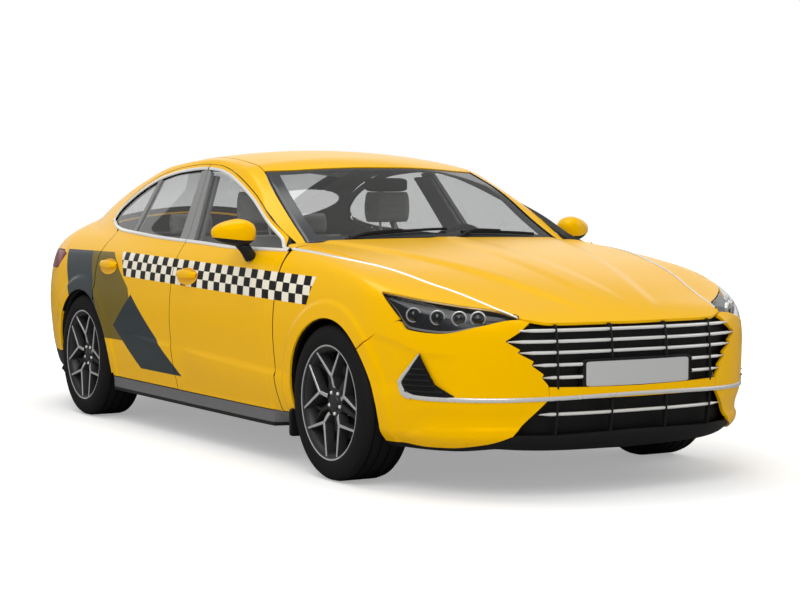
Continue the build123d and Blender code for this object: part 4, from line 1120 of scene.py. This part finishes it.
def make_wheels(context):
    """Wheels: tyre, rim, hub and disc as profiles turned about the axle, and forked spokes as bevelled
    bars along straight paths in the wheel's plane."""
    settings = context.scene.saloon_wheels
    pitch = 360 / settings.spokes
    for axle, axle_x in (("front", FRONT_AXLE_X), ("rear", REAR_AXLE_X)):
        centre = np.array((axle_x, -HALF_TRACK, AXLE_Z))
        body = f"{axle}_wheel_SIDE"
        tyre = turned(tyre_profile(), 120, centre)
        pair(f"{axle}_tyre", [tyre], ["black_rubber"], body, "tyre_rubber", [f"tyre_{axle}_SIDE"], sharp=60)
        barrel = ((100, 229), (92, 222), (60, 214), (0, 208), (-80, 210), (-104, 228))
        lip = ((107, 246), (111, 247), (113, 244), (111, 239))
        well = ((111, 239), (105, 232), (98, 226), (94, 222))
        hub = ((10, 40), (60, 66), (78, 62), (80, 36), (86, 33), (88, 28), (89, 0.5))
        disc = ((28, 70), (32, 76), (32, 158), (20, 160), (20, 76), (24, 62))
        pieces = [
            turned(lip, 96, centre, 0), turned(well, 96, centre, 1), turned(barrel, 96, centre, 1),
            turned(hub, 48, centre, 1), turned(disc, 64, centre, 2),
        ]
        for number in range(settings.spokes):
            angle = 90 + pitch * number
            stem = polar(np.linspace(62, 118, 8), angle + np.linspace(-3, 0, 8))
            face = SPOKE_FACE - 14 + 14 * np.linspace(0, 1, 8) ** 0.6
            pieces += wheel_bar(stem, np.linspace(18, 14, 8), face, 44, centre, 0, 1)
            for swing in (29, -21):
                arm = along((polar(112, angle), polar(236, angle + swing)), 12)
                face = SPOKE_FACE + 8 * np.linspace(0, 1, 12)
                pieces += wheel_bar(arm, np.linspace(14, 10, 12), face, 40, centre, 0, 1)
            back = polar(np.linspace(60, 150, 10), angle + pitch / 2)
            pieces += wheel_bar(back, np.linspace(26, 18, 10), np.linspace(76, 66, 10), 40, centre, 1, 1)
            for swing in (11, -11):
                arm = polar(np.linspace(144, 222, 8), angle + pitch / 2 + swing * np.linspace(0, 1, 8))
                pieces += wheel_bar(arm, 12, np.linspace(66, 70, 8), 34, centre, 1, 1)
            nut_ahead, nut_up = polar(48, angle + pitch / 2)
            nut_centre = centre + (nut_ahead, 0, nut_up)
            nut = ((70, 8), (82, 8), (85, 6), (85, 0.4))
            pieces.append(turned(nut, 12, nut_centre, 3))
        pair(
            f"{axle}_rim", pieces, ["machined_alloy", "rim_pocket", "disc_steel", "bright_metal"], body,
            "alloy", [f"rim_{axle}_SIDE"], sharp=35,
        )


# Cabin


def seat_pad(profile_front, profile_back, half_width_mm, centre_y, crown, channels):
    """A padded form between a front and a back edge in (x, z): bulged by a product of two rounded arches,
    with sewn channels as narrow dips across it, and closed at the rim."""
    front, back = along(profile_front, 34), along(profile_back, 34)
    u = np.linspace(-1, 1, 34)
    v = np.linspace(-1, 1, 30)
    arch_u, arch_v = (1 - np.abs(u) ** 5)[:, None], (1 - np.abs(v) ** 5)[None]
    seam = sum(np.exp(-(((v - c) / 0.05) ** 2)) for c in channels)[None] if channels else 0 * v[None]
    lift = crown * (arch_u * arch_v) ** 0.5 - 7 * seam * arch_u
    waist = 1 - 0.05 * (u**2)[:, None]
    y = centre_y + half_width_mm * v[None] * waist
    toward = front - back
    toward /= np.linalg.norm(toward, axis=1, keepdims=True)
    middle = 0.5 * (front + back)
    half = 0.5 * np.linalg.norm(front - back, axis=1)[:, None] * (1 - 0.55 * np.abs(v) ** 8)[None]
    faces = []
    for sign in (1, -1):
        out = sign * (half + (lift if sign > 0 else 0.3 * lift)) * (1 - 0.6 * np.abs(u) ** 9)[:, None]
        x = middle[:, :1] + toward[:, :1] * out
        z = middle[:, 1:] + toward[:, 1:] * out
        faces.append(np.stack([x, y, z], -1))
    shell = np.concatenate([faces[0], faces[1][:, ::-1]], 1)
    body = Grid(shell, 0, (False, True), False)
    inward = shell - shell.mean((0, 1))
    flip = bool(np.sum(normals(shell) * inward) < 0)
    ends = []
    for row in (0, -1):
        rim = shell[row]
        core = rim.mean(0)
        t = np.linspace(1, 0.02, 5)[:, None, None]
        cap = core + (rim[None] - core) * t
        ends.append(Grid(cap, 0, (False, True), flip if row == -1 else not flip))
    return [body._replace(flip=flip)] + ends


def make_seats(context):
    """Front seats, rear bench, headrests and their posts: crowned pads between a front and a back edge."""
    for word, place in (("right", -375), ("left", 375)):
        base = seat_pad(
            ((430, 440), (380, 478), (-40, 452)), ((420, 335), (330, 320), (-60, 320)), 232, place, 20,
            (-0.55, 0.55),
        )
        rest = seat_pad(
            ((-15, 470), (-90, 740), (-172, 1005)), ((-140, 400), (-215, 720), (-282, 990)), 225, place, 24,
            (-0.55, 0.55),
        )
        head = seat_pad(
            ((-196, 1065), (-190, 1140), (-196, 1228)), ((-292, 1075), (-300, 1140), (-285, 1228)), 122,
            place, 12, (),
        )
        for name, shape in (("base", base), ("back", rest), ("headrest", head)):
            replaced = ["front_seats"] if (word, name) == ("right", "base") else ()
            piece = build(
                f"front_seat_{name}_{word}", shape, ["woven_cloth"], "body", "seat_fabric", replaced
            )
        posts = [
            tube(along(((-225, place + s, 1000), (-240, place + s, 1085)), 6), 7, 10) for s in (-45, 45)
        ]
        build(f"headrest_posts_{word}", posts, ["bright_metal"], "body", "alloy")
        track = [tube(along(((-90, place + s, 285), (330, place + s, 285)), 6), 22, 8) for s in (-150, 150)]
        build(f"seat_track_{word}", track, ["moulded_black"], "body", "black_plastic")
    bench = seat_pad(
        ((-470, 425), (-515, 468), (-900, 432)), ((-480, 262), (-520, 258), (-980, 258)), 606, 0, 16,
        (-0.36, 0.36),
    )
    rest = seat_pad(
        ((-900, 440), (-985, 720), (-1070, 985)), ((-1040, 435), (-1115, 720), (-1185, 985)), 600, 0, 22,
        (-0.36, 0.36),
    )
    piece = build("rear_bench", bench, ["woven_cloth"], "body", "seat_fabric", ["rear_seat"])
    build("rear_backrest", rest, ["woven_cloth"], "body", "seat_fabric")
    for word, place in (("right", -360), ("left", 360)):
        head = seat_pad(
            ((-1085, 1000), (-1088, 1060), (-1105, 1106)), ((-1180, 1000), (-1186, 1060), (-1180, 1106)),
            120, place, 8, (),
        )
        build(f"rear_headrest_{word}", head, ["woven_cloth"], "body", "seat_fabric")


def make_cabin(context):
    """Inner cover of the middle pillar, and the inside mirror."""
    front = along(((-62, 992), (-120, 1120), (-205, 1325)), 24)
    rear = along(((-262, 992), (-300, 1120), (-372, 1325)), 24)
    cover = sunk(side(between(front, rear, 24, 8)), 34)
    pair("pillar_cover", [grid(cover)], ["pillar_trim"], "body", "black_plastic", thick=18, bevel=3)
    build(
        "inside_mirror", [swell((395, 0, 1262), (14, 118, 34), (0.4, 0.4))], ["moulded_black"], "body",
        "black_plastic",
    )


def make_liners(context):
    """Arch liners: a drum over each wheel, from just inside the body's edge inward; the front ones widen
    inward, so that the steered tyre clears them."""
    for axle, axle_x, flare in (("front", FRONT_AXLE_X, LINER_FLARE), ("rear", REAR_AXLE_X, 0.0)):
        rim = arc(axle_x, LINER_RADIUS, -14, 194, 60)
        edge = body_y(rim[:, 0], rim[:, 1])[:, None] - 16
        t = np.linspace(0, 1, 17)[None]
        grow = 1 + flare / LINER_RADIUS * np.clip(t / 0.25, 0, 1) ** 0.7
        x, z = axle_x + (rim[:, :1] - axle_x) * grow, AXLE_Z + (rim[:, 1:] - AXLE_Z) * grow
        drum = np.stack([x, -edge + (edge - LINER_BACK) * t, z], -1)
        inward = np.array((axle_x, -HALF_TRACK, AXLE_Z)) - drum
        pair(
            f"{axle}_arch_liner", [grid(drum, facing=inward)], ["black_and_shade"], "body", "black_plastic",
            ["arch_liners"], thick=3,
        )


def make_flaps(context):
    """Mud flaps behind the front wheels: a flat superellipsoid."""
    flap = swell((1112, -845, 212), (10, 62, 62), (0.2, 0.2), (28, 14))
    pair("mud_flap", [flap], ["moulded_black"], "body", "black_plastic")


NODE_FINISHES = {
    "floor_tub": "dark_steel",
    "front_frame": "dark_steel",
    "rear_axle": "dark_steel",
    "exhaust": "dark_steel",
    "engine_block": "cast_metal",
    "knuckle_right": "dark_steel",
    "knuckle_left": "dark_steel",
    "dashboard": "dash_plastic",
    "steering_wheel": "moulded_black",
}


def dress_nodes(context):
    """CAD pieces that stay in view get their finish and a small round edge."""
    for name, finish in NODE_FINISHES.items():
        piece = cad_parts[name]
        piece.data.materials.clear()
        piece.data.materials.append(finish_of(finish))
        round_edges(piece, 3)


def make_wipers(context):
    """Wipers: a round bar along the foot of the windscreen and an arm along a curve to the cowl."""
    for number, (foot_y, tip_y) in enumerate(((-520, 60), (90, 560))):
        foot = np.array((925.0, foot_y, hood_z(925.0, foot_y) - 4))
        x = np.linspace(884, 862, 20)
        y = np.linspace(foot_y + 40, tip_y, 20)
        blade = np.stack([x, y, canopy_z(x, y) + 8], -1)
        arm = along((foot, blade[4] + (0, 0, 8), blade[10] + (0, 0, 6)), 12)
        build(
            f"wiper_{number}", [tube(blade, 7, 8), tube(arm, 8, 8)], ["moulded_black"], "body",
            "black_plastic",
        )


# Finishes


def linear(code):
    """An sRGB hex colour as linear red, green, blue and alpha."""
    value = np.array([int(code[i : i + 2], 16) for i in (1, 3, 5)]) / 255
    value = np.where(value <= 0.04045, value / 12.92, ((value + 0.055) / 1.055) ** 2.4)
    return (*value.tolist(), 1.0)


def add(tree, kind, inputs=None, out=0, **options):
    """Adds a node, sets its options, sets or links its inputs, and gives one of its outputs."""
    node = tree.nodes.new(f"ShaderNode{kind}")
    for key, value in options.items():
        setattr(node, key, value)
    for key, value in (inputs or {}).items():
        if isinstance(value, bpy.types.NodeSocket):
            tree.links.new(value, node.inputs[key])
        else:
            node.inputs[key].default_value = value
    return node.outputs[out]


def surface(name, colour, rough, inputs=None):
    """A material with one Principled shader: its linear colour, roughness and other sockets by name."""
    material = bpy.data.materials.new(name)
    material.use_nodes = True
    tree = material.node_tree
    shader = tree.nodes["Principled BSDF"]
    for key, value in {"Base Color": colour, "Roughness": rough, **(inputs or {})}.items():
        shader.inputs[key].default_value = value
    return material, tree, shader


def grain(tree, size_mm, low, high):
    """Noise of a real grain size as a value between two levels."""
    place = add(tree, "TexCoord", out="Object")
    noise = add(tree, "TexNoise", {"Vector": place, "Scale": 1 / (size_mm * MM), "Detail": 3.0}, out="Fac")
    return add(tree, "MapRange", {0: noise, 1: 0.3, 2: 0.7, 3: low, 4: high})


def bump(tree, shader, height, depth_mm, strength=0.5):
    """Relief of a real depth on a shader."""
    relief = add(tree, "Bump", {"Height": height, "Strength": strength, "Distance": depth_mm * MM})
    tree.links.new(relief, shader.inputs["Normal"])


# Paint and livery, m; a way is the direction along which a stripe's limits are measured
YELLOW = "#FCC000"
PAINT_ROUGH = 0.24
RIPPLE_MM = 2.2
RIPPLE_DEPTH_MM = 0.02
UPRIGHT = (0.0, 0.0, 1.0)
STEEP = (1.0, 0.0, 0.527)
SLANT = (0.653, 0.0, 1.0)
COUNTER = (-0.7, 0.0, 1.0)
CHECK_HIGH = 0.041
CHECK_LONG = 0.0635
CHECK_TOP = 0.8936
CHECK_FALL = 0.0241
CHECK_LEAN = 0.12
CHECK_FRONT = (1.0, 0.0, -0.37)
CHECK_FRONT_END = 1.011
CHECK_REAR = (1.0, 0.0, 0.75)
CHECK_REAR_END = -0.17
UPPER_BANDS = (0.45, 0.909)
GREY_HIGH = (-1.187, -0.80)
OLIVE = (-0.80, -0.31)
GREY_LOW = (-0.06, 0.276)
GREY_LOW_REACH = 1.15
GREY_LOW_FOOT = 0.318
FAR = 9.0


def paint_colour():
    """The paint's linear colour from the panel."""
    return (*bpy.context.scene.saloon_paint.colour, 1.0)


def yellow_paint():
    # Gloss taxi paint: a warm solid yellow that also tints its reflections, with a faint ripple
    material, tree, shader = surface(
        "yellow_paint", paint_colour(), PAINT_ROUGH, {"Specular Tint": paint_colour()}
    )
    bump(tree, shader, grain(tree, RIPPLE_MM, 0, 1), RIPPLE_DEPTH_MM, 0.05)
    return material


def stripe(tree, place, way, low=-FAR, high=FAR):
    """1 where the distance along a way lies between two limits, otherwise 0."""
    far = add(tree, "VectorMath", {0: place, 1: way}, out="Value", operation="DOT_PRODUCT")
    return add(tree, "Math", {0: far, 1: (low + high) / 2, 2: (high - low) / 2}, operation="COMPARE")


def overlap(tree, mask, *others):
    """1 where all masks are 1: their product."""
    for other in others:
        mask = add(tree, "Math", {0: mask, 1: other}, operation="MULTIPLY")
    return mask


def livery_paint():
    # The same paint with a cream and black checker along the belt and slanted grey and olive bands on
    # the rear doors
    material, tree, shader = surface("livery_paint", paint_colour(), PAINT_ROUGH)
    place = add(tree, "TexCoord", out="Object")
    upper = stripe(tree, place, UPRIGHT, *UPPER_BANDS)
    grey_high = overlap(tree, upper, stripe(tree, place, STEEP, *GREY_HIGH))
    under_slant = stripe(tree, place, SLANT, high=GREY_LOW[1])
    olive = overlap(tree, upper, stripe(tree, place, STEEP, *OLIVE), under_slant)
    reach = stripe(tree, place, COUNTER, high=GREY_LOW_REACH)
    foot = stripe(tree, place, UPRIGHT, low=GREY_LOW_FOOT)
    grey_low = overlap(tree, stripe(tree, place, SLANT, *GREY_LOW), reach, foot)
    along_row = {0: place, 1: (1 / CHECK_LONG, 0.0, CHECK_LEAN / CHECK_LONG)}
    column = add(tree, "VectorMath", along_row, out="Value", operation="DOT_PRODUCT")
    down = {0: place, 1: (-CHECK_FALL / CHECK_HIGH, 0.0, -1 / CHECK_HIGH)}
    fall = add(tree, "VectorMath", down, out="Value", operation="DOT_PRODUCT")
    row = add(tree, "Math", {0: fall, 1: CHECK_TOP / CHECK_HIGH}, operation="ADD")
    cell = add(tree, "CombineXYZ", {0: column, 1: row})
    inks = {"Color1": linear("#121213"), "Color2": linear("#FBF3DF")}
    checker = add(tree, "TexChecker", {"Vector": cell, "Scale": 1.0, **inks}, out="Color")
    three_rows = add(tree, "Math", {0: row, 1: 1.5, 2: 1.5}, operation="COMPARE")
    front = stripe(tree, place, CHECK_FRONT, high=CHECK_FRONT_END)
    rear = stripe(tree, place, CHECK_REAR, low=CHECK_REAR_END)
    colour = paint_colour()
    for mask, ink in (
        (grey_high, linear("#3A4246")),
        (olive, linear("#75641C")),
        (grey_low, linear("#2F383C")),
        (overlap(tree, three_rows, front, rear), checker),
    ):
        colour = add(tree, "Mix", {0: mask, 6: colour, 7: ink}, out=2, data_type="RGBA")
    tree.links.new(colour, shader.inputs["Base Color"])
    tree.links.new(colour, shader.inputs["Specular Tint"])
    bump(tree, shader, grain(tree, RIPPLE_MM, 0, 1), RIPPLE_DEPTH_MM, 0.05)
    return material


def plain(name, colour, rough, spread, size_mm, relief=0.15, inputs=None):
    """A finish with fine grain in its gloss and its relief."""
    material, tree, shader = surface(name, linear(colour), rough, inputs)
    tree.links.new(grain(tree, size_mm, rough - spread, rough + spread), shader.inputs["Roughness"])
    bump(tree, shader, grain(tree, size_mm * 0.4, 0, 1), 0.06, relief)
    return material


def see_through(name, tint, haze, ior):
    # Thin glass: clear with a slight tint, and a mirror that grows towards grazing angles on its outer face
    material = bpy.data.materials.new(name)
    material.use_nodes = True
    tree = material.node_tree
    tree.nodes.remove(tree.nodes["Principled BSDF"])
    clear = add(tree, "BsdfTransparent", {"Color": linear(tint)})
    gloss = add(tree, "BsdfGlossy", {"Roughness": grain(tree, 60, haze, haze * 2)})
    inner = add(tree, "NewGeometry", out="Backfacing")
    outer = add(tree, "Math", {0: 1.0, 1: inner}, operation="SUBTRACT")
    edge = add(tree, "Math", {0: add(tree, "Fresnel", {"IOR": ior}), 1: outer}, operation="MULTIPLY")
    blend = add(tree, "MixShader", {0: edge, 1: clear, 2: gloss})
    tree.links.new(blend, tree.nodes["Material Output"].inputs["Surface"])
    return material


THREAD_MM = 1.9635


def woven_cloth():
    # Woven grey cloth: crossed threads, drawn coarse enough to show through the glass
    material, tree, shader = surface("woven_cloth", linear("#8E8E8E"), 0.85, {"Sheen Weight": 0.25})
    weave = {
        "Vector": add(tree, "TexCoord", out="Object"), "Scale": 0.1 * pi / (THREAD_MM * MM),
        "Distortion": 1.0,
    }
    x, y, z = (add(tree, "TexWave", weave, out="Fac", bands_direction=way) for way in "XYZ")
    over = add(tree, "Math", {0: x, 1: z}, operation="MAXIMUM")
    threads = add(tree, "Math", {0: over, 1: y}, operation="MULTIPLY")
    shades = {0: threads, 6: linear("#B2B2B0"), 7: linear("#DADAD8")}
    tree.links.new(add(tree, "Mix", shades, out=2, data_type="RGBA"), shader.inputs["Base Color"])
    bump(tree, shader, threads, 0.4, 0.4)
    return material


# Finishes of one colour: colour, roughness and its spread, grain in mm, relief, other sockets
PLAIN = {
    # Satin moulded black with a leathery grain
    "moulded_black": ("#1A1B1C", 0.45, 0.08, 3, 0.15, {"Specular IOR Level": 0.35}),
    # Deep black: plastic behind slats, in the vents and in the arches; on the cut edges of door and quarter
    # skins and on the band round the rear arch it is painted shade
    "black_and_shade": ("#0C0C0D", 0.6, 0.1, 4),
    # Primed steel under the car and inside panels: dark with a dull sheen
    "dark_steel": ("#2A2B2C", 0.5, 0.1, 8, 0.15, {"Metallic": 0.3}),
    # Cast aluminium of the engine: grey and matt
    "cast_metal": ("#7B7D7E", 0.55, 0.12, 3, 0.15, {"Metallic": 0.8}),
    # Polished trim: near white with sharp reflections
    "bright_metal": ("#F8F8F6", 0.16, 0.04, 20, 0.02, {"Metallic": 0.3}),
    # Brushed silver of the bumper line
    "satin_silver": ("#DEDEDC", 0.3, 0.06, 30, 0.02, {"Metallic": 0.35}),
    # Grey moulded trim of door linings and posts
    "grey_trim": ("#8B8B8B", 0.6, 0.08, 3),
    # The same trim on the middle pillar
    "pillar_trim": ("#8A8B8C", 0.6, 0.08, 3),
    # Pale felt under the roof, without gloss
    "headliner": ("#B9B8B5", 0.9, 0.05, 2),
    # Mid grey moulded sill
    "sill_grey": ("#6E6E70", 0.45, 0.06, 5),
    # Soft grained dashboard
    "dash_plastic": ("#68696B", 0.6, 0.08, 3),
    # Printed ceramic edge of the windows: smooth and nearly black
    "printed_band": ("#35373A", 0.2, 0.05, 5),
    # Moulded inside of the headlamp: black, its brow grey and its lower rim pale
    "lamp_housing": ("#232426", 0.3, 0.06, 5),
    "lamp_brow": ("#6A6B6E", 0.35, 0.06, 5),
    "lamp_grey": ("#9A9B9C", 0.3, 0.06, 5),
    # Ground lens of a projector: black glass with one sharp highlight
    "projector_glass": ("#16181B", 0.06, 0.02, 5, 0.15, {"Coat Weight": 1.0}),
    # Deep red acrylic of the tail lamps
    "red_plastic": ("#7A0D12", 0.16, 0.04, 5, 0.15, {"Specular IOR Level": 0.25}),
    # Bare painted sheet of the number plate
    "blank_plate": ("#BDBDBD", 0.4, 0.05, 2),
    # Tyre rubber: dull black
    "black_rubber": ("#161617", 0.7, 0.1, 2, 0.15, {"Specular IOR Level": 0.25}),
    # Turned face of the rim: pale and silky
    "machined_alloy": ("#D6D6D7", 0.34, 0.06, 2, 0.15, {"Metallic": 0.6}),
    # Painted pockets of the rim: dark satin
    "rim_pocket": ("#3A3A3B", 0.4, 0.08, 3, 0.15, {"Metallic": 0.4}),
    # Ground steel of the brake disc
    "disc_steel": ("#5E5F60", 0.35, 0.08, 2, 0.15, {"Metallic": 0.9}),
}
# Glass and clear plastic: tint, haze, and an index of refraction that matches the glare of the photograph
CLEAR = {
    "clear_glass": ("#F0F1F1", 0.01, 2.5),
    "side_glass": ("#F8F8F8", 0.01, 2.4),
    "lamp_cover": ("#F2F3F4", 0.01, 1.2),
}
PATTERNED = {"yellow_paint": yellow_paint, "livery_paint": livery_paint, "woven_cloth": woven_cloth}
MADE = {}


def finish_of(name):
    """The named finish, made once."""
    if name not in MADE:
        if name in PATTERNED:
            MADE[name] = PATTERNED[name]()
        elif name in CLEAR:
            MADE[name] = see_through(name, *CLEAR[name])
        else:
            MADE[name] = plain(name, *PLAIN[name])
    return MADE[name]


# Stage

CAMERA_PLACE = (8.5569, -4.7371, 1.2128)
CAMERA_YAW = 149.453
CAMERA_PITCH = -3.156
CAMERA_LENS = 85.83
SENSOR = 36.0
FLOOR_LIFT = (0.34, 0.8)
FLOOR_LIFT_REACH = (2.7, 6.0)
GLOSS_DIM = 0.45


def floor_white():
    # White floor: takes the shadow, is lifted to white for the eye only, and is greyer in the paint's
    # reflections
    inputs = {"Specular IOR Level": 0.0, "Emission Color": (1, 1, 1, 1)}
    material, tree, shader = surface("floor_white", linear("#E7E7E7"), 0.9, inputs)
    rays = add(tree, "LightPath").node.outputs
    shades = {0: rays["Is Glossy Ray"], 6: linear("#E7E7E7"), 7: linear("#7C7C7C")}
    tree.links.new(add(tree, "Mix", shades, out=2, data_type="RGBA"), shader.inputs["Base Color"])
    place = add(tree, "TexCoord", out="Object")
    far = add(tree, "VectorMath", {0: place}, out="Value", operation="LENGTH")
    reach = {0: far, 1: FLOOR_LIFT_REACH[0], 2: FLOOR_LIFT_REACH[1], 3: FLOOR_LIFT[0], 4: FLOOR_LIFT[1]}
    lift = add(tree, "MapRange", reach)
    glow = add(tree, "Math", {0: rays["Is Camera Ray"], 1: lift}, operation="MULTIPLY")
    tree.links.new(glow, shader.inputs["Emission Strength"])
    bump(tree, shader, grain(tree, 40, 0, 1), 0.2, 0.05)
    return material


def studio_world(dome):
    """A soft grey dome that is white to the eye and through glass, and dimmer in reflections."""
    world = bpy.data.worlds.new("studio")
    world.use_nodes = True
    tree = world.node_tree
    soft = tree.nodes["Background"]
    soft.inputs[0].default_value = linear("#F2F2F0")
    white = add(tree, "Background", {0: (1, 1, 1, 1), 1: 1.0})
    rays = add(tree, "LightPath").node.outputs
    seen = {0: rays["Is Camera Ray"], 1: rays["Is Transmission Ray"]}
    seen = add(tree, "Math", seen, operation="MAXIMUM")
    loss = add(tree, "Math", {0: rays["Is Glossy Ray"], 1: GLOSS_DIM}, operation="MULTIPLY")
    share = add(tree, "Math", {0: 1.0, 1: loss}, operation="SUBTRACT")
    tree.links.new(add(tree, "Math", {0: share, 1: dome}, operation="MULTIPLY"), soft.inputs[1])
    blend = add(tree, "MixShader", {0: seen, 1: soft.outputs[0], 2: white})
    tree.links.new(blend, tree.nodes["World Output"].inputs[0])
    return world


def make_stage(context):
    """Camera from the photograph, white floor, soft dome and area lamps."""
    scene = context.scene
    scene.view_settings.view_transform = "Standard"
    camera = bpy.data.cameras.new("photo_camera")
    camera.lens, camera.sensor_width = CAMERA_LENS, SENSOR
    eye = bpy.data.objects.new("photo_camera", camera)
    eye.location = CAMERA_PLACE
    eye.rotation_euler = (radians(90 + CAMERA_PITCH), 0, radians(CAMERA_YAW - 90))
    scene.collection.objects.link(eye)
    scene.camera = eye
    settings = scene.saloon_stage
    scene.world = studio_world(settings.dome)
    half = 40.0
    mesh = bpy.data.meshes.new("floor")
    mesh.from_pydata(
        [(-half, -half, 0), (half, -half, 0), (half, half, 0), (-half, half, 0)], [], [(0, 1, 2, 3)]
    )
    floor = bpy.data.objects.new("floor", mesh)
    scene.collection.objects.link(floor)
    mesh.materials.append(floor_white())
    for name, place, aim, size, watts in (
        ("key_light", (6.0, -5.0, 6.5), (0, 0, 0.6), (5.0, 5.0), settings.key),
        ("fill_light", (3.0, 8.0, 5.0), (0, 0, 0.8), (5.0, 5.0), settings.key * 0.35),
        ("top_light", (-1.0, -1.0, 8.0), (0, 0, 0), (6.0, 6.0), settings.key * 1.1),
        ("horizon_light", (-10.3, 6.1, 4.4), (0, 0, 1.0), (24.0, 4.4), settings.key * 0.85),
    ):
        data = bpy.data.lights.new(name, "AREA")
        data.shape, data.energy = "RECTANGLE", watts
        data.size, data.size_y = size
        lamp = bpy.data.objects.new(name, data)
        lamp.location = place
        lamp.visible_camera = False
        aim_way = np.array(aim) - np.array(place)
        yaw = np.arctan2(aim_way[1], aim_way[0])
        pitch = np.arctan2(aim_way[2], np.hypot(aim_way[0], aim_way[1]))
        lamp.rotation_euler = (float(pitch) + pi / 2, 0, float(yaw) - pi / 2)
        scene.collection.objects.link(lamp)


class SaloonPaintSettings(bpy.types.PropertyGroup):
    """Colour of the painted panels"""

    colour: bpy.props.FloatVectorProperty(
        name="Paint", description="Colour of the painted panels", subtype="COLOR", size=3, min=0.0, max=1.0,
        default=linear(YELLOW)[:3],
    )


class SaloonWheelSettings(bpy.types.PropertyGroup):
    """Pattern of the rims"""

    spokes: bpy.props.IntProperty(
        name="Spokes", description="Number of forked spokes", default=5, min=3, max=9
    )


class SaloonStageSettings(bpy.types.PropertyGroup):
    """Light of the studio"""

    dome: bpy.props.FloatProperty(
        name="Dome", description="Strength of the soft light all round", default=0.6
    )
    key: bpy.props.FloatProperty(
        name="Key light", description="Power of the key light; the other lamps follow it", default=250.0,
        unit="POWER",
    )


class SALOON_OT_panels(bpy.types.Operator):
    """Makes the hood, roof, rails, fenders and doors"""

    bl_idname = "saloon.panels"
    bl_label = "Body panels"

    def execute(self, context):
        for make in (make_hood, make_roof, make_rails, make_fenders, make_doors):
            make(context)
        return {"FINISHED"}


class SALOON_OT_front(bpy.types.Operator):
    """Makes the front bumper, grille and headlamps"""

    bl_idname = "saloon.front"
    bl_label = "Front end"

    def execute(self, context):
        for make in (make_nose, make_grille, make_headlamps):
            make(context)
        return {"FINISHED"}


class SALOON_OT_rear(bpy.types.Operator):
    """Makes the boot lid, rear bumper and tail lamps"""

    bl_idname = "saloon.rear"
    bl_label = "Rear end"

    def execute(self, context):
        make_tail(context)
        return {"FINISHED"}


class SALOON_OT_trim(bpy.types.Operator):
    """Makes the bright strips, mirrors, handles, wipers, mud flaps and arch liners"""

    bl_idname = "saloon.trim"
    bl_label = "Trim"

    def execute(self, context):
        for make in (make_mouldings, make_mirrors, make_handles, make_wipers, make_flaps, make_liners):
            make(context)
        return {"FINISHED"}


class SALOON_OT_wheels(bpy.types.Operator):
    """Makes the tyres, rims and brake discs"""

    bl_idname = "saloon.wheels"
    bl_label = "Wheels"

    def execute(self, context):
        make_wheels(context)
        return {"FINISHED"}


class SALOON_OT_cabin(bpy.types.Operator):
    """Makes the padded seats and pillar covers, and gives the CAD pieces that stay in view their finish"""

    bl_idname = "saloon.cabin"
    bl_label = "Cabin"

    def execute(self, context):
        for make in (make_seats, make_cabin, dress_nodes):
            make(context)
        return {"FINISHED"}


class SALOON_OT_stage(bpy.types.Operator):
    """Sets up the floor, the light and the camera"""

    bl_idname = "saloon.stage"
    bl_label = "Stage"

    def execute(self, context):
        make_stage(context)
        return {"FINISHED"}


OPERATORS = (
    SALOON_OT_panels, SALOON_OT_front, SALOON_OT_rear, SALOON_OT_trim, SALOON_OT_wheels, SALOON_OT_cabin,
    SALOON_OT_stage,
)


class SALOON_PT_panel(bpy.types.Panel):
    """Sidebar panel with the saloon's groups of pieces"""

    bl_label = "Saloon"
    bl_idname = "SALOON_PT_panel"
    bl_space_type = "VIEW_3D"
    bl_region_type = "UI"
    bl_category = "Saloon"

    def draw(self, context):
        for operator in OPERATORS:
            self.layout.operator(operator.bl_idname)
        self.layout.prop(context.scene.saloon_paint, "colour")
        self.layout.prop(context.scene.saloon_wheels, "spokes")
        self.layout.prop(context.scene.saloon_stage, "dome")
        self.layout.prop(context.scene.saloon_stage, "key")


CLASSES = (SaloonPaintSettings, SaloonWheelSettings, SaloonStageSettings, *OPERATORS, SALOON_PT_panel)


def register():
    """Registers the classes and hangs the settings on the scene."""
    for item in CLASSES:
        bpy.utils.register_class(item)
    bpy.types.Scene.saloon_paint = bpy.props.PointerProperty(type=SaloonPaintSettings)
    bpy.types.Scene.saloon_wheels = bpy.props.PointerProperty(type=SaloonWheelSettings)
    bpy.types.Scene.saloon_stage = bpy.props.PointerProperty(type=SaloonStageSettings)


def unregister():
    """Takes the settings and the classes away again."""
    del bpy.types.Scene.saloon_stage
    del bpy.types.Scene.saloon_wheels
    del bpy.types.Scene.saloon_paint
    for item in reversed(CLASSES):
        bpy.utils.unregister_class(item)


def main():
    """Makes every group in order."""
    register()
    bpy.ops.saloon.panels()
    bpy.ops.saloon.front()
    bpy.ops.saloon.rear()
    bpy.ops.saloon.trim()
    bpy.ops.saloon.wheels()
    bpy.ops.saloon.cabin()
    bpy.ops.saloon.stage()
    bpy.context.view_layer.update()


if __name__ == "__main__":
    main()
